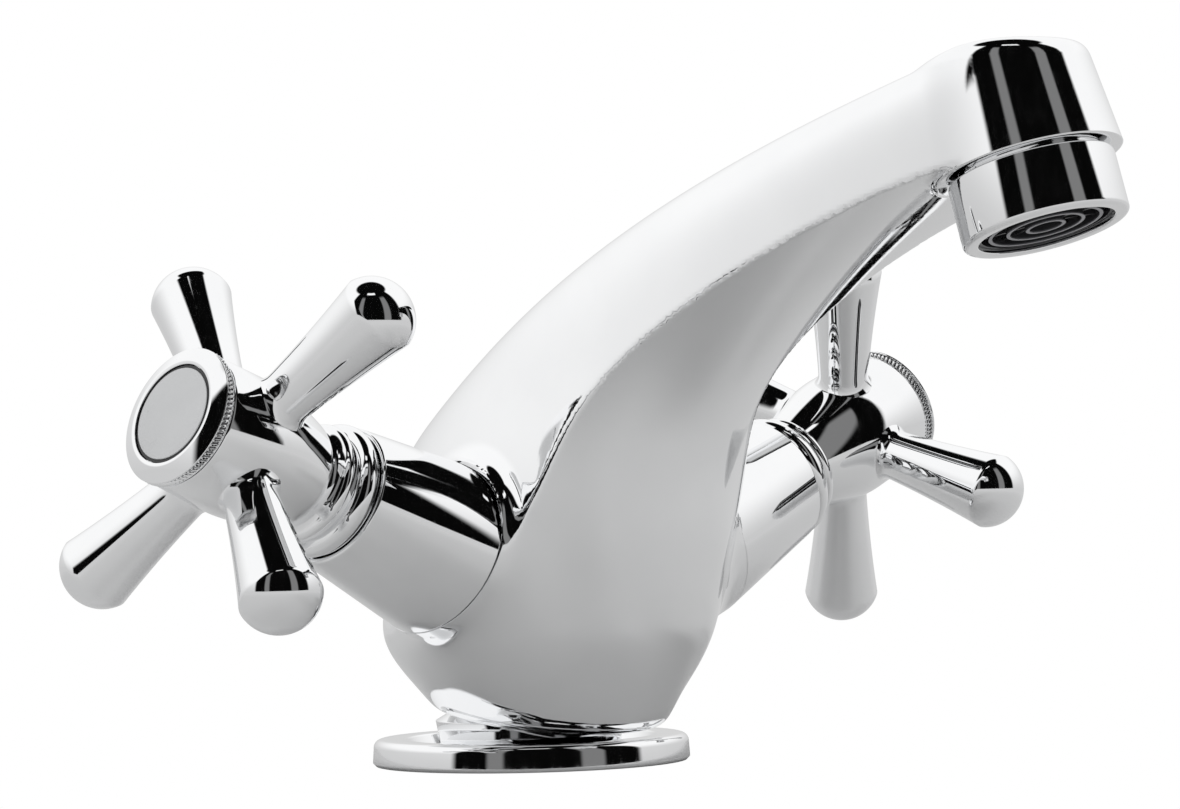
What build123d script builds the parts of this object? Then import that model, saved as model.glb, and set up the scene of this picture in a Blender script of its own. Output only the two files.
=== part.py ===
from build123d import *
import math
import os

# Single-hole basin mixer with two cross handles, in millimetres.
# Origin: centre of the base ring on the basin deck. +Z up, spout towards -Y,
# hot handle at -X, cold handle at +X.

# Base ring and the seal under it
RING_R = 26.0
RING_HEIGHT = 4.3
RING_ROUND = 1.3
RECESS_R = 19.4
RECESS_FLOOR = 2.4
RING_BORE_R = 13.4
RECESS_SLOPE = 0.9
RING_FOOT_CHAMFER = 0.5
SEAL_R = 23.0
SEAL_WIDTH = 3.0
SEAL_THICK = 1.2
SEAL_CLEAR = 0.15

# Foot and bowl of the casting
SPIGOT_CLEAR = 0.5
SPIGOT_Z = 0.6
FOOT_R = 15.6
FOOT_LIP_Z = 7.2
FOOT_DRAFT = 0.9
FOOT_FLARE = 3.0
NECK_R = 13.2
BOWL_Y = -4.6
BOWL_R = 27.0
BOWL_Z = 23.0
BOWL_RIM_R = 18.6
BOWL_RIM_Z = 7.4
BOWL_RIM_SLANT = 8.0
BOWL_SLANT = 3.0
BOWL_BELLY_R = 21.8
BOWL_BELLY_Z = 13.0
BOWL_BELLY_SLANT = 3.0
BOWL_LEAD = 0.2

# Spout surface, as rows of pull points between the bowl and the head. The crease is the edge
# between flank and underside, the ridge is the back and top line. Each row: crease y and z,
# ridge y and z, half width, depth of the underside, roundness of the crease, squareness above.
SPOUT_ROWS = (
    (-31.3, 39.5, 28.0, 58.0, 25.6, 3.0, 0.3, 0.0),
    (-31.3, 48.0, 19.5, 54.5, 24.0, 6.0, 0.0, 0.0),
    (-23.0, 60.0, 13.0, 51.0, 18.5, 8.0, 0.0, 0.2),
    (-39.5, 65.0, 6.5, 76.5, 18.5, 3.0, 0.0, 0.3),
    (-68.0, 84.5, -30.0, 92.0, 14.5, 1.5, 0.0, 0.35),
)
SPOUT_END_BULGE = 0.8

# Half of a section's control outline, as shares of its half width and of its depth
ROUND_HALF = ((1, 0), (1, 0.628), (0.5065, 1.286))
SQUARE_HALF = ((1, 0), (0.88, 1.6), (1.2, 0.8))
LENS_HALF = ((1, 0), (0.6, 0.8), (0.2, 1.2))

# Spout head and outlet
HEAD_Y = -107.2
HEAD_Z = 90.6
HEAD_TILT = 16.5
HEAD_RIM_R = 14.1
HEAD_TOP_R = 12.2
HEAD_TOP_Z = 109.0
HEAD_ROUND = 2.0
HEAD_COLLAR = 5.0
HEAD_OVERLAP = 0.6
SPOUT_END_LAP = 0.4
SPOUT_END_INSET = 0.1
SPOUT_END_LIFT = 0.3
NIPPLE_R = 10.8
NIPPLE_LENGTH = 5.0
OUTLET_R = 8.0

# Aerator
AERATOR_R = 12.5
AERATOR_GAP = 0.6
AERATOR_HEIGHT = 9.6
THREAD_CLEAR = 0.1
LIP_R = 10.2
LIP_THICK = 0.9
AERATOR_ROUND = 0.7
WASHER_THICK = 1.4
WASHER_WIDTH = 2.2
SCREEN_CLEAR = 0.2
SCREEN_THICK = 0.4
INSERT_PLATE = 0.9
INSERT_RING_WALL = 0.55
INSERT_RINGS = (3.0, 5.9, 8.6)
INSERT_RIBS = 12
INSERT_RIB_WIDTH = 0.5
INSERT_RIB_INSET = 0.6
INSERT_PROUD = 0.2
INSERT_HOLE_R = 0.8

# Valve axes: both start on the middle plane and rise outwards
VALVE_Y = -8.5
VALVE_Z = 24.3
VALVE_RISE = 22.2
HOT_ARM_ANGLE = 39.9
COLD_ARM_ANGLE = 20.5

# Distances along a valve axis, from the middle plane
SEAT_AT = 14.0
PORT_ROOT_AT = 8.0
PORT_END = 30.0
PORT_LAND = 2.0
SPOT_CLEAR = 0.3
COLLAR_END = 27.5
CLIP_AT = 50.1
O_RINGS_AT = (36.0, 40.0)
SOCKET_START = 55.5
SCREW_START = 63.0
SHROUD_SEAT = 44.0
BUSH_END = 50.0
SHROUD_END = 54.0
SKIRT_START = 52.0
SPINDLE_END = 71.5
WEB_END = 76.0
ARMS_AT = 75.0
HANDLE_END = 85.2
CAP_BAND_END = HANDLE_END + 2.2
DISC_FACE = CAP_BAND_END + 0.8

# Radii about a valve axis
PORT_R = 14.1
PORT_ROOT_R = 20.0
PORT_BORE_R = 10.5
SEAT_BORE_R = 4.5
SEAT_WELL = 5.0
PASSAGE_R = 3.2
SHROUD_MOUTH_R = 11.2
SHROUD_WALL = 1.2
SHROUD_LAND = 3.0
SHROUD_ROUND = 0.4
MOUTH_CLEAR = 0.35
BUSH_FLANGE_R = 12.0
BUSH_FLANGE_THICK = 3.5
BUSH_THREAD_R = 10.4
BUSH_NECK_R = 9.2
BUSH_TOP_R = 8.2
BUSH_LIFT = 0.6
BUSH_CHAMFER = 1.0
DISC_R = 7.2
DISC_CLEAR = 0.1
FIXED_DISC_THICK = 3.5
TURNING_DISC_THICK = 3.0
SEAL_SQUEEZE_THICK = 2.5
SPINDLE_R = 4.0
SPINDLE_FIT = 0.06
SPINDLE_CHAMFER = 0.6
COLLAR_R = 6.2
COLLAR_PLAY = 0.1
TANG_LENGTH = 10.0
TANG_WIDTH = 2.4
TANG_DEPTH = 1.2
TANG_CLEAR = 0.1
TANG_ROOT = 0.5
DISC_PORT_R = 2.1
DISC_PORT_AT = 3.9
SCREW_R = 2.1
SCREW_HEAD_R = 3.9
SCREW_HEAD = 3.2
SCREW_CLEAR = 0.05
SCREW_SOCKET_R = 1.7
SCREW_SOCKET = 1.8
SCREW_HOLE_SPARE = 0.5
O_RING_WIRE = 0.96
GROOVE_R = 3.0
GROOVE_WIDTH = 1.1
O_RING_CLEAR = 0.01
CLIP_THICK = 0.8
CLIP_R = 5.6
CLIP_GROOVE_R = 3.4
CLIP_GAP = 3.0

# Handle
SKIRT_R = 10.1
SKIRT_WALL = 1.4
BEAD_R = 10.9
BEAD_AT = 55.8
BEAD_HALF = 1.5
GROOVE_IN_R = 8.9
GROOVE_LOW = 57.6
GROOVE_HIGH = 58.3
SMALL_RING_R = 9.6
SMALL_RING_HIGH = 60.2
WAIST_R = 8.0
WAIST_AT = 60.8
HUB_LOW_R = 10.4
HUB_LOW = 69.5
HUB_R = 11.0
CAP_SEAT_R = 10.7
CAP_R = 11.0
SOCKET_R = 8.4
SOCKET_CLEAR = 0.1
SOCKET_GAP = 0.3
POCKET_R = 6.4
POCKET_END = 82.0
WEB_HOLE_CLEAR = 0.3
ARM_ROOT_R = 4.1
ARM_END_R = 6.4
ARM_START = 9.0
ARM_REACH = 32.0
ARM_DOME = 4.9
ARM_HOLLOW = 0.25
INDEX_R = 7.8
INDEX_THICK = 1.6
INDEX_CLEAR = 0.15
INDEX_ROUND = 0.3
CAP_EDGE = 0.3

# Water inlets and fixing stud in the spigot
INLET_X = 6.3
INLET_Y = -3.5
INLET_R = 4.5
INLET_DEPTH = 12.0
STUD_Y = 6.6
STUD_R = 3.4
STUD_DEPTH = 14.0
CHANNEL_R = 5.0
CHANNEL_START = (-12.0, 40.0)
CHANNEL_BEND = (-38.0, 76.0)
OUTLET_DEPTH = 6.0
CUT_PAST = 1.5
MIX_AT = 22.0
MIX_RISE = 6.0


def valve_frame(side):
    """Plane whose Z runs out along the valve axis of one side, -1 hot or +1 cold."""
    rise = math.radians(VALVE_RISE)
    outward = (side * math.cos(rise), 0, math.sin(rise))
    return Plane(origin=(0, VALVE_Y, VALVE_Z), x_dir=(0, -side, 0), z_dir=outward)


def outlet_frame():
    """Plane at the head's lower rim whose Z runs down along the tilted outlet axis."""
    tilt = math.radians(HEAD_TILT)
    down = (0, -math.sin(tilt), -math.cos(tilt))
    return Plane(origin=(0, HEAD_Y, HEAD_Z), x_dir=(1, 0, 0), z_dir=down)


def turned(points):
    """Solid of revolution about Z from a closed outline of (radius, height) points."""
    outline = Polyline(*points, close=True)
    return revolve(Plane.XZ * make_face(outline), Axis.Z)


def tube(outer, inner, low, high):
    """Plain ring between two heights."""
    return turned([(inner, low), (outer, low), (outer, high), (inner, high)])


def rod(radius, low, high):
    """Plain cylinder between two heights."""
    return Pos(0, 0, low) * Cylinder(radius, high - low, align=(Align.CENTER, Align.CENTER, Align.MIN))


def drilled(start, end, radius):
    """Straight cored passage between two points."""
    axis = Vector(*end) - Vector(*start)
    plane = Plane(origin=start, z_dir=axis)
    return plane * rod(radius, 0, axis.length)


def section_points(crease, ridge, half, depth, outline):
    """Control points of half a section, mirrored over the middle plane."""
    run_y, run_z = ridge[0] - crease[0], ridge[1] - crease[1]
    height = math.hypot(run_y, run_z)
    up_y, up_z = run_y / height, run_z / height
    points = [(half * x, crease[0] + depth * y * up_y, crease[1] + depth * y * up_z) for x, y in outline]
    return points + [(-x, y, z) for x, y, z in reversed(points)]


def mixed(first, second, share):
    """Outline part of the way from the first control outline to the second."""
    pairs = zip(first, second)
    return [(a[0] + (b[0] - a[0]) * share, a[1] + (b[1] - a[1]) * share) for a, b in pairs]


def bowl_row(radius, height, angle):
    """Upper and lower control points of a round row of the bowl, tipped up at the rear."""
    centre, rear = (BOWL_Y, height), (BOWL_Y + radius, height)
    slant = math.tan(math.radians(angle))
    rows = []
    for depth in (radius, -radius):
        row = section_points(centre, rear, radius, depth, ROUND_HALF)
        rows.append([(x, y, z + (y - BOWL_Y) * slant) for x, y, z in row])
    return rows


def spout_row(crease_y, crease_z, ridge_y, ridge_z, half, bulge, roundness, squareness):
    """Upper and lower control points of one row of the spout."""
    crease, ridge = (crease_y, crease_z), (ridge_y, ridge_z)
    height = math.hypot(ridge_y - crease_y, ridge_z - crease_z)
    above = section_points(crease, ridge, half, height, mixed(ROUND_HALF, SQUARE_HALF, squareness))
    below = section_points(crease, ridge, half, -bulge, mixed(LENS_HALF, ROUND_HALF, roundness))
    return [above, below]


def led_up(rim, following):
    """Row under the bowl's widest one, in line with the next row above, so that the skins meet smoothly."""
    rows = []
    for points, ahead in zip(rim, following):
        pairs = zip(points, ahead)
        rows.append([tuple(a - BOWL_LEAD * (b - a) for a, b in zip(*pair)) for pair in pairs])
    return rows


def end_row():
    """Last row of the spout, across the middle of the head."""
    end_y = HEAD_Y + SPOUT_END_LAP
    low = HEAD_Z + SPOUT_END_LIFT
    high = HEAD_TOP_Z - SPOUT_END_INSET
    return spout_row(end_y, low, end_y, high, HEAD_RIM_R - SPOUT_END_INSET, SPOUT_END_BULGE, 0, 1)


def hull():
    """Bowl, waist and arched spout, skinned over rows of control points and closed at both ends."""
    rim = bowl_row(BOWL_R, BOWL_Z, BOWL_SLANT)
    spout_rows = [rim] + [spout_row(*row) for row in SPOUT_ROWS] + [end_row()]
    bowl_rows = [
        bowl_row(BOWL_RIM_R, BOWL_RIM_Z, BOWL_RIM_SLANT),
        bowl_row(BOWL_BELLY_R, BOWL_BELLY_Z, BOWL_BELLY_SLANT),
        led_up(rim, spout_rows[1]),
        rim,
    ]
    faces = []
    for rows in (bowl_rows, spout_rows):
        for side in (0, 1):
            faces.append(Face.make_bezier_surface([row[side] for row in rows]))
    for above, below in (bowl_rows[0], spout_rows[-1]):
        faces.append(Face(Wire([Bezier(*above), Bezier(*below)])))
    return Solid(Shell(faces))


def head():
    """Tapered round head: a level top with a rounded edge in front, and a collar round the back."""
    rise = HEAD_TOP_Z - HEAD_Z
    tall = (rise + HEAD_RIM_R) / math.cos(math.radians(HEAD_TILT))
    taper = (HEAD_RIM_R - HEAD_TOP_R) / rise
    profile = [(0, 0), (HEAD_RIM_R, 0), (HEAD_RIM_R - taper * tall, -tall), (0, -tall)]
    cone = outlet_frame() * turned(profile)
    side = (rise + HEAD_RIM_R) * 3
    above = Box(side, side, side, align=(Align.CENTER, Align.CENTER, Align.MIN))
    cone = cone - Pos(0, HEAD_Y, HEAD_TOP_Z) * above
    top_edges = cone.faces().sort_by(Axis.Z)[-1].edges()
    rounded = fillet(top_edges, HEAD_ROUND)
    behind = Box(side, side, side, align=(Align.CENTER, Align.MIN, Align.MIN))
    return rounded - Pos(0, HEAD_Y + HEAD_OVERLAP, HEAD_Z + HEAD_COLLAR) * behind


def port(side):
    """Flared boss that carries one valve, blending into the bowl."""
    land = PORT_END - PORT_LAND
    root = (PORT_ROOT_R, PORT_ROOT_AT)
    outline = (
        Polyline((PORT_R, land), (PORT_R, PORT_END), (0, PORT_END), (0, PORT_ROOT_AT), root)
        + TangentArc((PORT_R, land), root, tangent=(0, -1))
    )
    return valve_frame(side) * revolve(Plane.XZ * make_face(outline), Axis.Z)


def foot():
    """Waisted foot under the bowl, with a small lip, and the spigot that enters the ring."""
    spigot_r = RING_BORE_R - SPIGOT_CLEAR
    outline = (
        Polyline((0, BOWL_Z), (NECK_R, BOWL_Z), (NECK_R, FOOT_LIP_Z + FOOT_FLARE))
        + TangentArc((NECK_R, FOOT_LIP_Z + FOOT_FLARE), (FOOT_R, FOOT_LIP_Z), tangent=(0, -1))
        + Polyline(
            (FOOT_R, FOOT_LIP_Z),
            (FOOT_R - FOOT_DRAFT, RECESS_FLOOR),
            (spigot_r, RECESS_FLOOR),
            (spigot_r, SPIGOT_Z),
            (0, SPIGOT_Z),
            (0, BOWL_Z),
        )
    )
    return revolve(Plane.XZ * make_face(outline), Axis.Z)


def waterways():
    """Valve chambers and the spot faces round them, inlets, stud hole and the channel up to the outlet."""
    start, bend = Vector(0, *CHANNEL_START), Vector(0, *CHANNEL_BEND)
    outlet = outlet_frame()
    cuts = [
        Pos(0, STUD_Y, SPIGOT_Z) * rod(STUD_R, -CUT_PAST, STUD_DEPTH),
        drilled(start, bend, CHANNEL_R),
        drilled(bend, outlet.origin - outlet.z_dir * OUTLET_DEPTH, CHANNEL_R),
        Pos(*start) * Rot(0, 90, 0) * Sphere(CHANNEL_R),
        Pos(*bend) * Sphere(CHANNEL_R),
        outlet * rod(OUTLET_R, -OUTLET_DEPTH - CUT_PAST, NIPPLE_LENGTH + CUT_PAST),
    ]
    for side in (-1, 1):
        frame = valve_frame(side)
        inlet_top = Vector(side * INLET_X, INLET_Y, SPIGOT_Z + INLET_DEPTH)
        well = frame.origin + frame.z_dir * (SEAT_AT - SEAT_WELL / 2)
        mix = frame.origin + frame.z_dir * MIX_AT + Vector(0, 0, MIX_RISE)
        cuts += [
            frame * rod(PORT_BORE_R, SEAT_AT, PORT_END + CUT_PAST),
            frame * rod(SEAT_BORE_R, SEAT_AT - SEAT_WELL, SEAT_AT + CUT_PAST),
            frame * rod(PORT_R + SPOT_CLEAR, PORT_END, SHROUD_END),
            Pos(side * INLET_X, INLET_Y, SPIGOT_Z) * rod(INLET_R, -CUT_PAST, INLET_DEPTH),
            drilled(inlet_top - Vector(0, 0, CUT_PAST), well, PASSAGE_R),
            drilled(mix, start, PASSAGE_R),
        ]
    return cuts


def body_casting():
    """The whole chromed casting: hull, head, ports, foot and outlet nipple, with its bores."""
    nipple = outlet_frame() * rod(NIPPLE_R, -CUT_PAST, NIPPLE_LENGTH)
    solid = Part(hull().wrapped) + [head(), port(-1), port(1), foot(), nipple]
    return solid - waterways()


def base_ring():
    """Round cover plate on the deck, with a rounded rim, a recess for the foot and a seal groove."""
    groove_r = SEAL_R + SEAL_WIDTH / 2 + SEAL_CLEAR
    groove_in = SEAL_R - SEAL_WIDTH / 2 - SEAL_CLEAR
    ring = turned(
        [
            (RING_BORE_R, 0),
            (RING_R, 0),
            (RING_R, RING_HEIGHT),
            (RECESS_R + RECESS_SLOPE, RING_HEIGHT),
            (RECESS_R, RECESS_FLOOR),
            (RING_BORE_R, RECESS_FLOOR),
        ]
    )
    rim = ring.edges().filter_by(GeomType.CIRCLE).sort_by(SortBy.RADIUS)[-2:]
    ring = fillet(rim.sort_by(Axis.Z)[-1:], RING_ROUND)
    lower = ring.edges().filter_by(GeomType.CIRCLE).group_by(Axis.Z)[0].sort_by(SortBy.RADIUS)[-1:]
    ring = chamfer(lower, RING_FOOT_CHAMFER)
    return ring - tube(groove_r, groove_in, -CUT_PAST, SEAL_THICK)


def base_gasket():
    """Flat rubber seal in the groove under the ring."""
    return tube(SEAL_R + SEAL_WIDTH / 2, SEAL_R - SEAL_WIDTH / 2, 0, SEAL_THICK)


def aerator_shell():
    """Round chromed shell that screws over the nipple, with an inward lip at its mouth."""
    low = AERATOR_GAP
    high = AERATOR_GAP + AERATOR_HEIGHT
    shell = turned(
        [
            (NIPPLE_R + THREAD_CLEAR, low),
            (AERATOR_R, low),
            (AERATOR_R, high),
            (LIP_R, high),
            (LIP_R, high - LIP_THICK),
            (NIPPLE_R + THREAD_CLEAR, high - LIP_THICK),
        ]
    )
    rims = shell.edges().filter_by(GeomType.CIRCLE).sort_by(SortBy.RADIUS)[-2:]
    shell = fillet(rims, AERATOR_ROUND)
    return outlet_frame() * shell


def aerator_insert():
    """Plastic jet former: perforated plate with rings and radial ribs under it."""
    high = AERATOR_GAP + AERATOR_HEIGHT - LIP_THICK
    low = NIPPLE_LENGTH + WASHER_THICK
    outer = NIPPLE_R
    half_wall = INSERT_RING_WALL / 2
    rib_length = LIP_R - INSERT_RINGS[0]
    rib = Pos(INSERT_RINGS[0] - half_wall, 0, low) * Box(
        rib_length,
        INSERT_RIB_WIDTH,
        high - low - INSERT_RIB_INSET,
        align=(Align.MIN, Align.CENTER, Align.MIN),
    )
    between = (INSERT_RINGS[1] + INSERT_RINGS[2]) / 2 - half_wall
    hole = Pos(between, 0, 0) * rod(INSERT_HOLE_R, low - CUT_PAST, low + INSERT_PLATE + CUT_PAST)
    step = 360 / INSERT_RIBS
    walls = [tube(outer, LIP_R - INSERT_RING_WALL, low, high)]
    walls += [tube(radius, radius - INSERT_RING_WALL, low, high + INSERT_PROUD) for radius in INSERT_RINGS]
    walls += [Rot(0, 0, turn * step) * rib for turn in range(INSERT_RIBS)]
    holes = [Rot(0, 0, (turn + 0.5) * step) * hole for turn in range(INSERT_RIBS)]
    return outlet_frame() * (rod(outer, low, low + INSERT_PLATE) + walls - holes)


def aerator_screen():
    """Round mesh disc that lies on the insert, inside the washer."""
    low = NIPPLE_LENGTH + WASHER_THICK - SCREEN_THICK
    return outlet_frame() * rod(NIPPLE_R - WASHER_WIDTH - SCREEN_CLEAR, low, low + SCREEN_THICK)


def aerator_washer():
    """Flat rubber washer between the nipple and the insert."""
    return outlet_frame() * tube(
        NIPPLE_R, NIPPLE_R - WASHER_WIDTH, NIPPLE_LENGTH, NIPPLE_LENGTH + WASHER_THICK
    )


def shroud():
    """Chromed bonnet that hides the headwork, tapering from the port to an open mouth at the handle."""
    mouth_r = SKIRT_R + MOUTH_CLEAR
    land_r = BUSH_TOP_R + THREAD_CLEAR
    taper = (PORT_R - SHROUD_MOUTH_R) / (SHROUD_END - PORT_END)
    wall_r = PORT_R - SHROUD_WALL
    shell = turned(
        [
            (wall_r, PORT_END),
            (PORT_R, PORT_END),
            (SHROUD_MOUTH_R, SHROUD_END),
            (mouth_r, SHROUD_END),
            (mouth_r, SHROUD_SEAT + SHROUD_LAND),
            (land_r, SHROUD_SEAT + SHROUD_LAND),
            (land_r, SHROUD_SEAT),
            (wall_r - taper * (SHROUD_SEAT - PORT_END), SHROUD_SEAT),
        ]
    )
    mouth = shell.edges().filter_by(GeomType.CIRCLE).group_by(Axis.Z)[-1].sort_by(SortBy.RADIUS)[-1:]
    return fillet(mouth, SHROUD_ROUND)


def bush():
    """Brass headwork body: threaded barrel, flange on the port face and stepped neck."""
    disc_bore = DISC_R + DISC_CLEAR
    chamber = COLLAR_R + SPINDLE_FIT
    stem = SPINDLE_R + SPINDLE_FIT
    seal_end = SEAT_AT + SEAL_SQUEEZE_THICK
    discs_end = seal_end + FIXED_DISC_THICK + TURNING_DISC_THICK
    return turned(
        [
            (disc_bore, SEAT_AT + BUSH_LIFT),
            (BUSH_THREAD_R - BUSH_CHAMFER, SEAT_AT + BUSH_LIFT),
            (BUSH_THREAD_R, SEAT_AT + BUSH_LIFT + BUSH_CHAMFER),
            (BUSH_THREAD_R, PORT_END),
            (BUSH_FLANGE_R, PORT_END),
            (BUSH_FLANGE_R, PORT_END + BUSH_FLANGE_THICK),
            (BUSH_NECK_R, PORT_END + BUSH_FLANGE_THICK),
            (BUSH_NECK_R, SHROUD_SEAT),
            (BUSH_TOP_R, SHROUD_SEAT),
            (BUSH_TOP_R, BUSH_END - BUSH_CHAMFER),
            (BUSH_TOP_R - BUSH_CHAMFER, BUSH_END),
            (stem, BUSH_END),
            (stem, COLLAR_END + COLLAR_PLAY),
            (chamber, COLLAR_END + COLLAR_PLAY),
            (chamber, discs_end + DISC_CLEAR),
            (disc_bore, discs_end + DISC_CLEAR),
        ]
    )


def seat_seal():
    """Rubber ring squeezed between the port's seat and the fixed disc."""
    return tube(DISC_R, SEAT_BORE_R, SEAT_AT, SEAT_AT + SEAL_SQUEEZE_THICK)


def disc_ports(turn):
    """Pair of water ports of a ceramic disc, turned about the axis."""
    ports = []
    for half_turn in (0, 180):
        ports.append(Rot(0, 0, turn + half_turn) * Pos(DISC_PORT_AT, 0, 0) * rod(DISC_PORT_R, 0, PORT_END))
    return ports


def fixed_disc():
    """Lower ceramic disc, still in the bush, with two ports."""
    low = SEAT_AT + SEAL_SQUEEZE_THICK
    disc = rod(DISC_R, low, low + FIXED_DISC_THICK)
    for cut in disc_ports(0):
        disc = disc - cut
    return disc


def turning_disc():
    """Upper ceramic disc with two ports a quarter turn off, and a slot for the spindle's tang."""
    low = SEAT_AT + SEAL_SQUEEZE_THICK + FIXED_DISC_THICK
    high = low + TURNING_DISC_THICK
    disc = rod(DISC_R, low, high)
    for cut in disc_ports(90):
        disc = disc - cut
    slot = Box(
        DISC_R * 3,
        TANG_WIDTH + 2 * TANG_CLEAR,
        TURNING_DISC_THICK,
        align=(Align.CENTER, Align.CENTER, Align.MIN),
    )
    return disc - Pos(0, 0, high - TANG_DEPTH - TANG_CLEAR) * slot


def spindle():
    """Brass spindle: tang, collar, two seal grooves, clip groove and the end that carries the handle."""
    foot_at = SEAT_AT + SEAL_SQUEEZE_THICK + FIXED_DISC_THICK + TURNING_DISC_THICK
    groove_low = O_RINGS_AT[0] - GROOVE_WIDTH / 2
    groove_next = O_RINGS_AT[1] - GROOVE_WIDTH / 2
    shaft = turned(
        [
            (0, foot_at),
            (COLLAR_R, foot_at),
            (COLLAR_R, COLLAR_END),
            (SPINDLE_R, COLLAR_END),
            (SPINDLE_R, groove_low),
            (GROOVE_R, groove_low),
            (GROOVE_R, groove_low + GROOVE_WIDTH),
            (SPINDLE_R, groove_low + GROOVE_WIDTH),
            (SPINDLE_R, groove_next),
            (GROOVE_R, groove_next),
            (GROOVE_R, groove_next + GROOVE_WIDTH),
            (SPINDLE_R, groove_next + GROOVE_WIDTH),
            (SPINDLE_R, CLIP_AT - SCREW_CLEAR),
            (CLIP_GROOVE_R, CLIP_AT - SCREW_CLEAR),
            (CLIP_GROOVE_R, CLIP_AT + CLIP_THICK + SCREW_CLEAR),
            (SPINDLE_R, CLIP_AT + CLIP_THICK + SCREW_CLEAR),
            (SPINDLE_R, SPINDLE_END - SPINDLE_CHAMFER),
            (SPINDLE_R - SPINDLE_CHAMFER, SPINDLE_END),
            (SCREW_R + SCREW_CLEAR, SPINDLE_END),
            (SCREW_R + SCREW_CLEAR, SCREW_START - SCREW_HOLE_SPARE),
            (0, SCREW_START - SCREW_HOLE_SPARE),
        ]
    )
    tang = Pos(0, 0, foot_at - TANG_DEPTH) * Box(
        TANG_LENGTH, TANG_WIDTH, TANG_DEPTH + TANG_ROOT, align=(Align.CENTER, Align.CENTER, Align.MIN)
    )
    return shaft + tang


def spindle_o_rings():
    """Two rubber rings in the spindle's grooves."""
    middle = GROOVE_R + O_RING_WIRE / 2 + O_RING_CLEAR
    return [Pos(0, 0, at) * Torus(middle, O_RING_WIRE / 2) for at in O_RINGS_AT]


def circlip():
    """Open spring ring that keeps the spindle in its bush."""
    clip = tube(CLIP_R, CLIP_GROOVE_R + SCREW_CLEAR, CLIP_AT, CLIP_AT + CLIP_THICK)
    return clip - Pos(CLIP_R, 0, CLIP_AT) * Box(CLIP_R * 2, CLIP_GAP, 4 * CLIP_THICK)


def arm():
    """One trumpet-shaped arm along +X, with a domed end."""
    dome_r = (ARM_END_R**2 + ARM_DOME**2) / (2 * ARM_DOME)
    centre = ARM_REACH + ARM_DOME - dome_r
    half_angle = math.atan2(ARM_END_R, ARM_REACH - centre) / 2
    on_dome = (dome_r * math.sin(half_angle), centre + dome_r * math.cos(half_angle))
    slim = ((ARM_ROOT_R + ARM_END_R) / 2 - ARM_HOLLOW, (ARM_START + ARM_REACH) / 2)
    outline = (
        Polyline((0, ARM_REACH + ARM_DOME), (0, 0), (ARM_ROOT_R, 0), (ARM_ROOT_R, ARM_START))
        + ThreePointArc((ARM_ROOT_R, ARM_START), slim, (ARM_END_R, ARM_REACH))
        + ThreePointArc((ARM_END_R, ARM_REACH), on_dome, (0, ARM_REACH + ARM_DOME))
    )
    return Rot(0, 90, 0) * revolve(Plane.XZ * make_face(outline), Axis.Z)


def hub_side():
    """Outline of the handle's outside, from the skirt in the shroud's mouth up to the cap."""
    swell = TangentArc((HUB_R, ARMS_AT), (HUB_LOW_R, HUB_LOW), tangent=(0, -1))
    return (
        Line((SKIRT_R, SKIRT_START), (SKIRT_R, BEAD_AT - BEAD_HALF))
        + ThreePointArc((SKIRT_R, BEAD_AT - BEAD_HALF), (BEAD_R, BEAD_AT), (SKIRT_R, BEAD_AT + BEAD_HALF))
        + Polyline((SKIRT_R, BEAD_AT + BEAD_HALF), (GROOVE_IN_R, GROOVE_LOW), (GROOVE_IN_R, GROOVE_HIGH))
        + ThreePointArc(
            (GROOVE_IN_R, GROOVE_HIGH),
            (SMALL_RING_R, (GROOVE_HIGH + SMALL_RING_HIGH) / 2),
            (GROOVE_IN_R, SMALL_RING_HIGH),
        )
        + Line((GROOVE_IN_R, SMALL_RING_HIGH), (WAIST_R, WAIST_AT))
        + TangentArc(swell @ 1, (WAIST_R, WAIST_AT), tangent=swell % 1)
        + swell
        + Line((HUB_R, ARMS_AT), (CAP_SEAT_R, HANDLE_END))
    )


def handle(first_arm):
    """Cross handle in one casting: skirt, bead, small ring, swelling hub and four arms."""
    skirt_in = SKIRT_R - SKIRT_WALL
    bore = SPINDLE_R + SCREW_CLEAR
    web_hole = SCREW_R + WEB_HOLE_CLEAR
    outline = hub_side() + Polyline(
        (CAP_SEAT_R, HANDLE_END),
        (SOCKET_R, HANDLE_END),
        (SOCKET_R, POCKET_END),
        (POCKET_R, POCKET_END),
        (POCKET_R, WEB_END),
        (web_hole, WEB_END),
        (web_hole, SPINDLE_END),
        (bore, SPINDLE_END),
        (bore, SOCKET_START),
        (skirt_in, SOCKET_START),
        (skirt_in, SKIRT_START),
        (SKIRT_R, SKIRT_START),
    )
    angles = [first_arm + 90 * turn for turn in range(-1, 3)]
    arms = [Pos(0, 0, ARMS_AT) * Rot(0, 0, angle) * arm() for angle in angles]
    inside = [rod(POCKET_R, WEB_END, POCKET_END), rod(bore, SOCKET_START, SPINDLE_END)]
    inside.append(rod(web_hole, SPINDLE_END, WEB_END))
    return revolve(Plane.XZ * make_face(outline), Axis.Z) + arms - inside


def cap_ring():
    """Bezel that screws into the handle and holds the index disc; its band is the grip edge."""
    spigot = SOCKET_R - SOCKET_CLEAR
    seat = INDEX_R + INDEX_CLEAR
    return turned(
        [
            (POCKET_R, POCKET_END + SOCKET_GAP),
            (spigot, POCKET_END + SOCKET_GAP),
            (spigot, HANDLE_END),
            (CAP_R, HANDLE_END),
            (CAP_R, CAP_BAND_END),
            (seat + CAP_EDGE, DISC_FACE),
            (seat, DISC_FACE),
            (seat, DISC_FACE - INDEX_THICK),
            (POCKET_R, DISC_FACE - INDEX_THICK),
        ]
    )


def index_disc():
    """Round index plate with a soft front edge."""
    disc = rod(INDEX_R, DISC_FACE - INDEX_THICK, DISC_FACE)
    return fillet(disc.edges().filter_by(GeomType.CIRCLE).sort_by(Axis.Z)[-1:], INDEX_ROUND)


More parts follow.
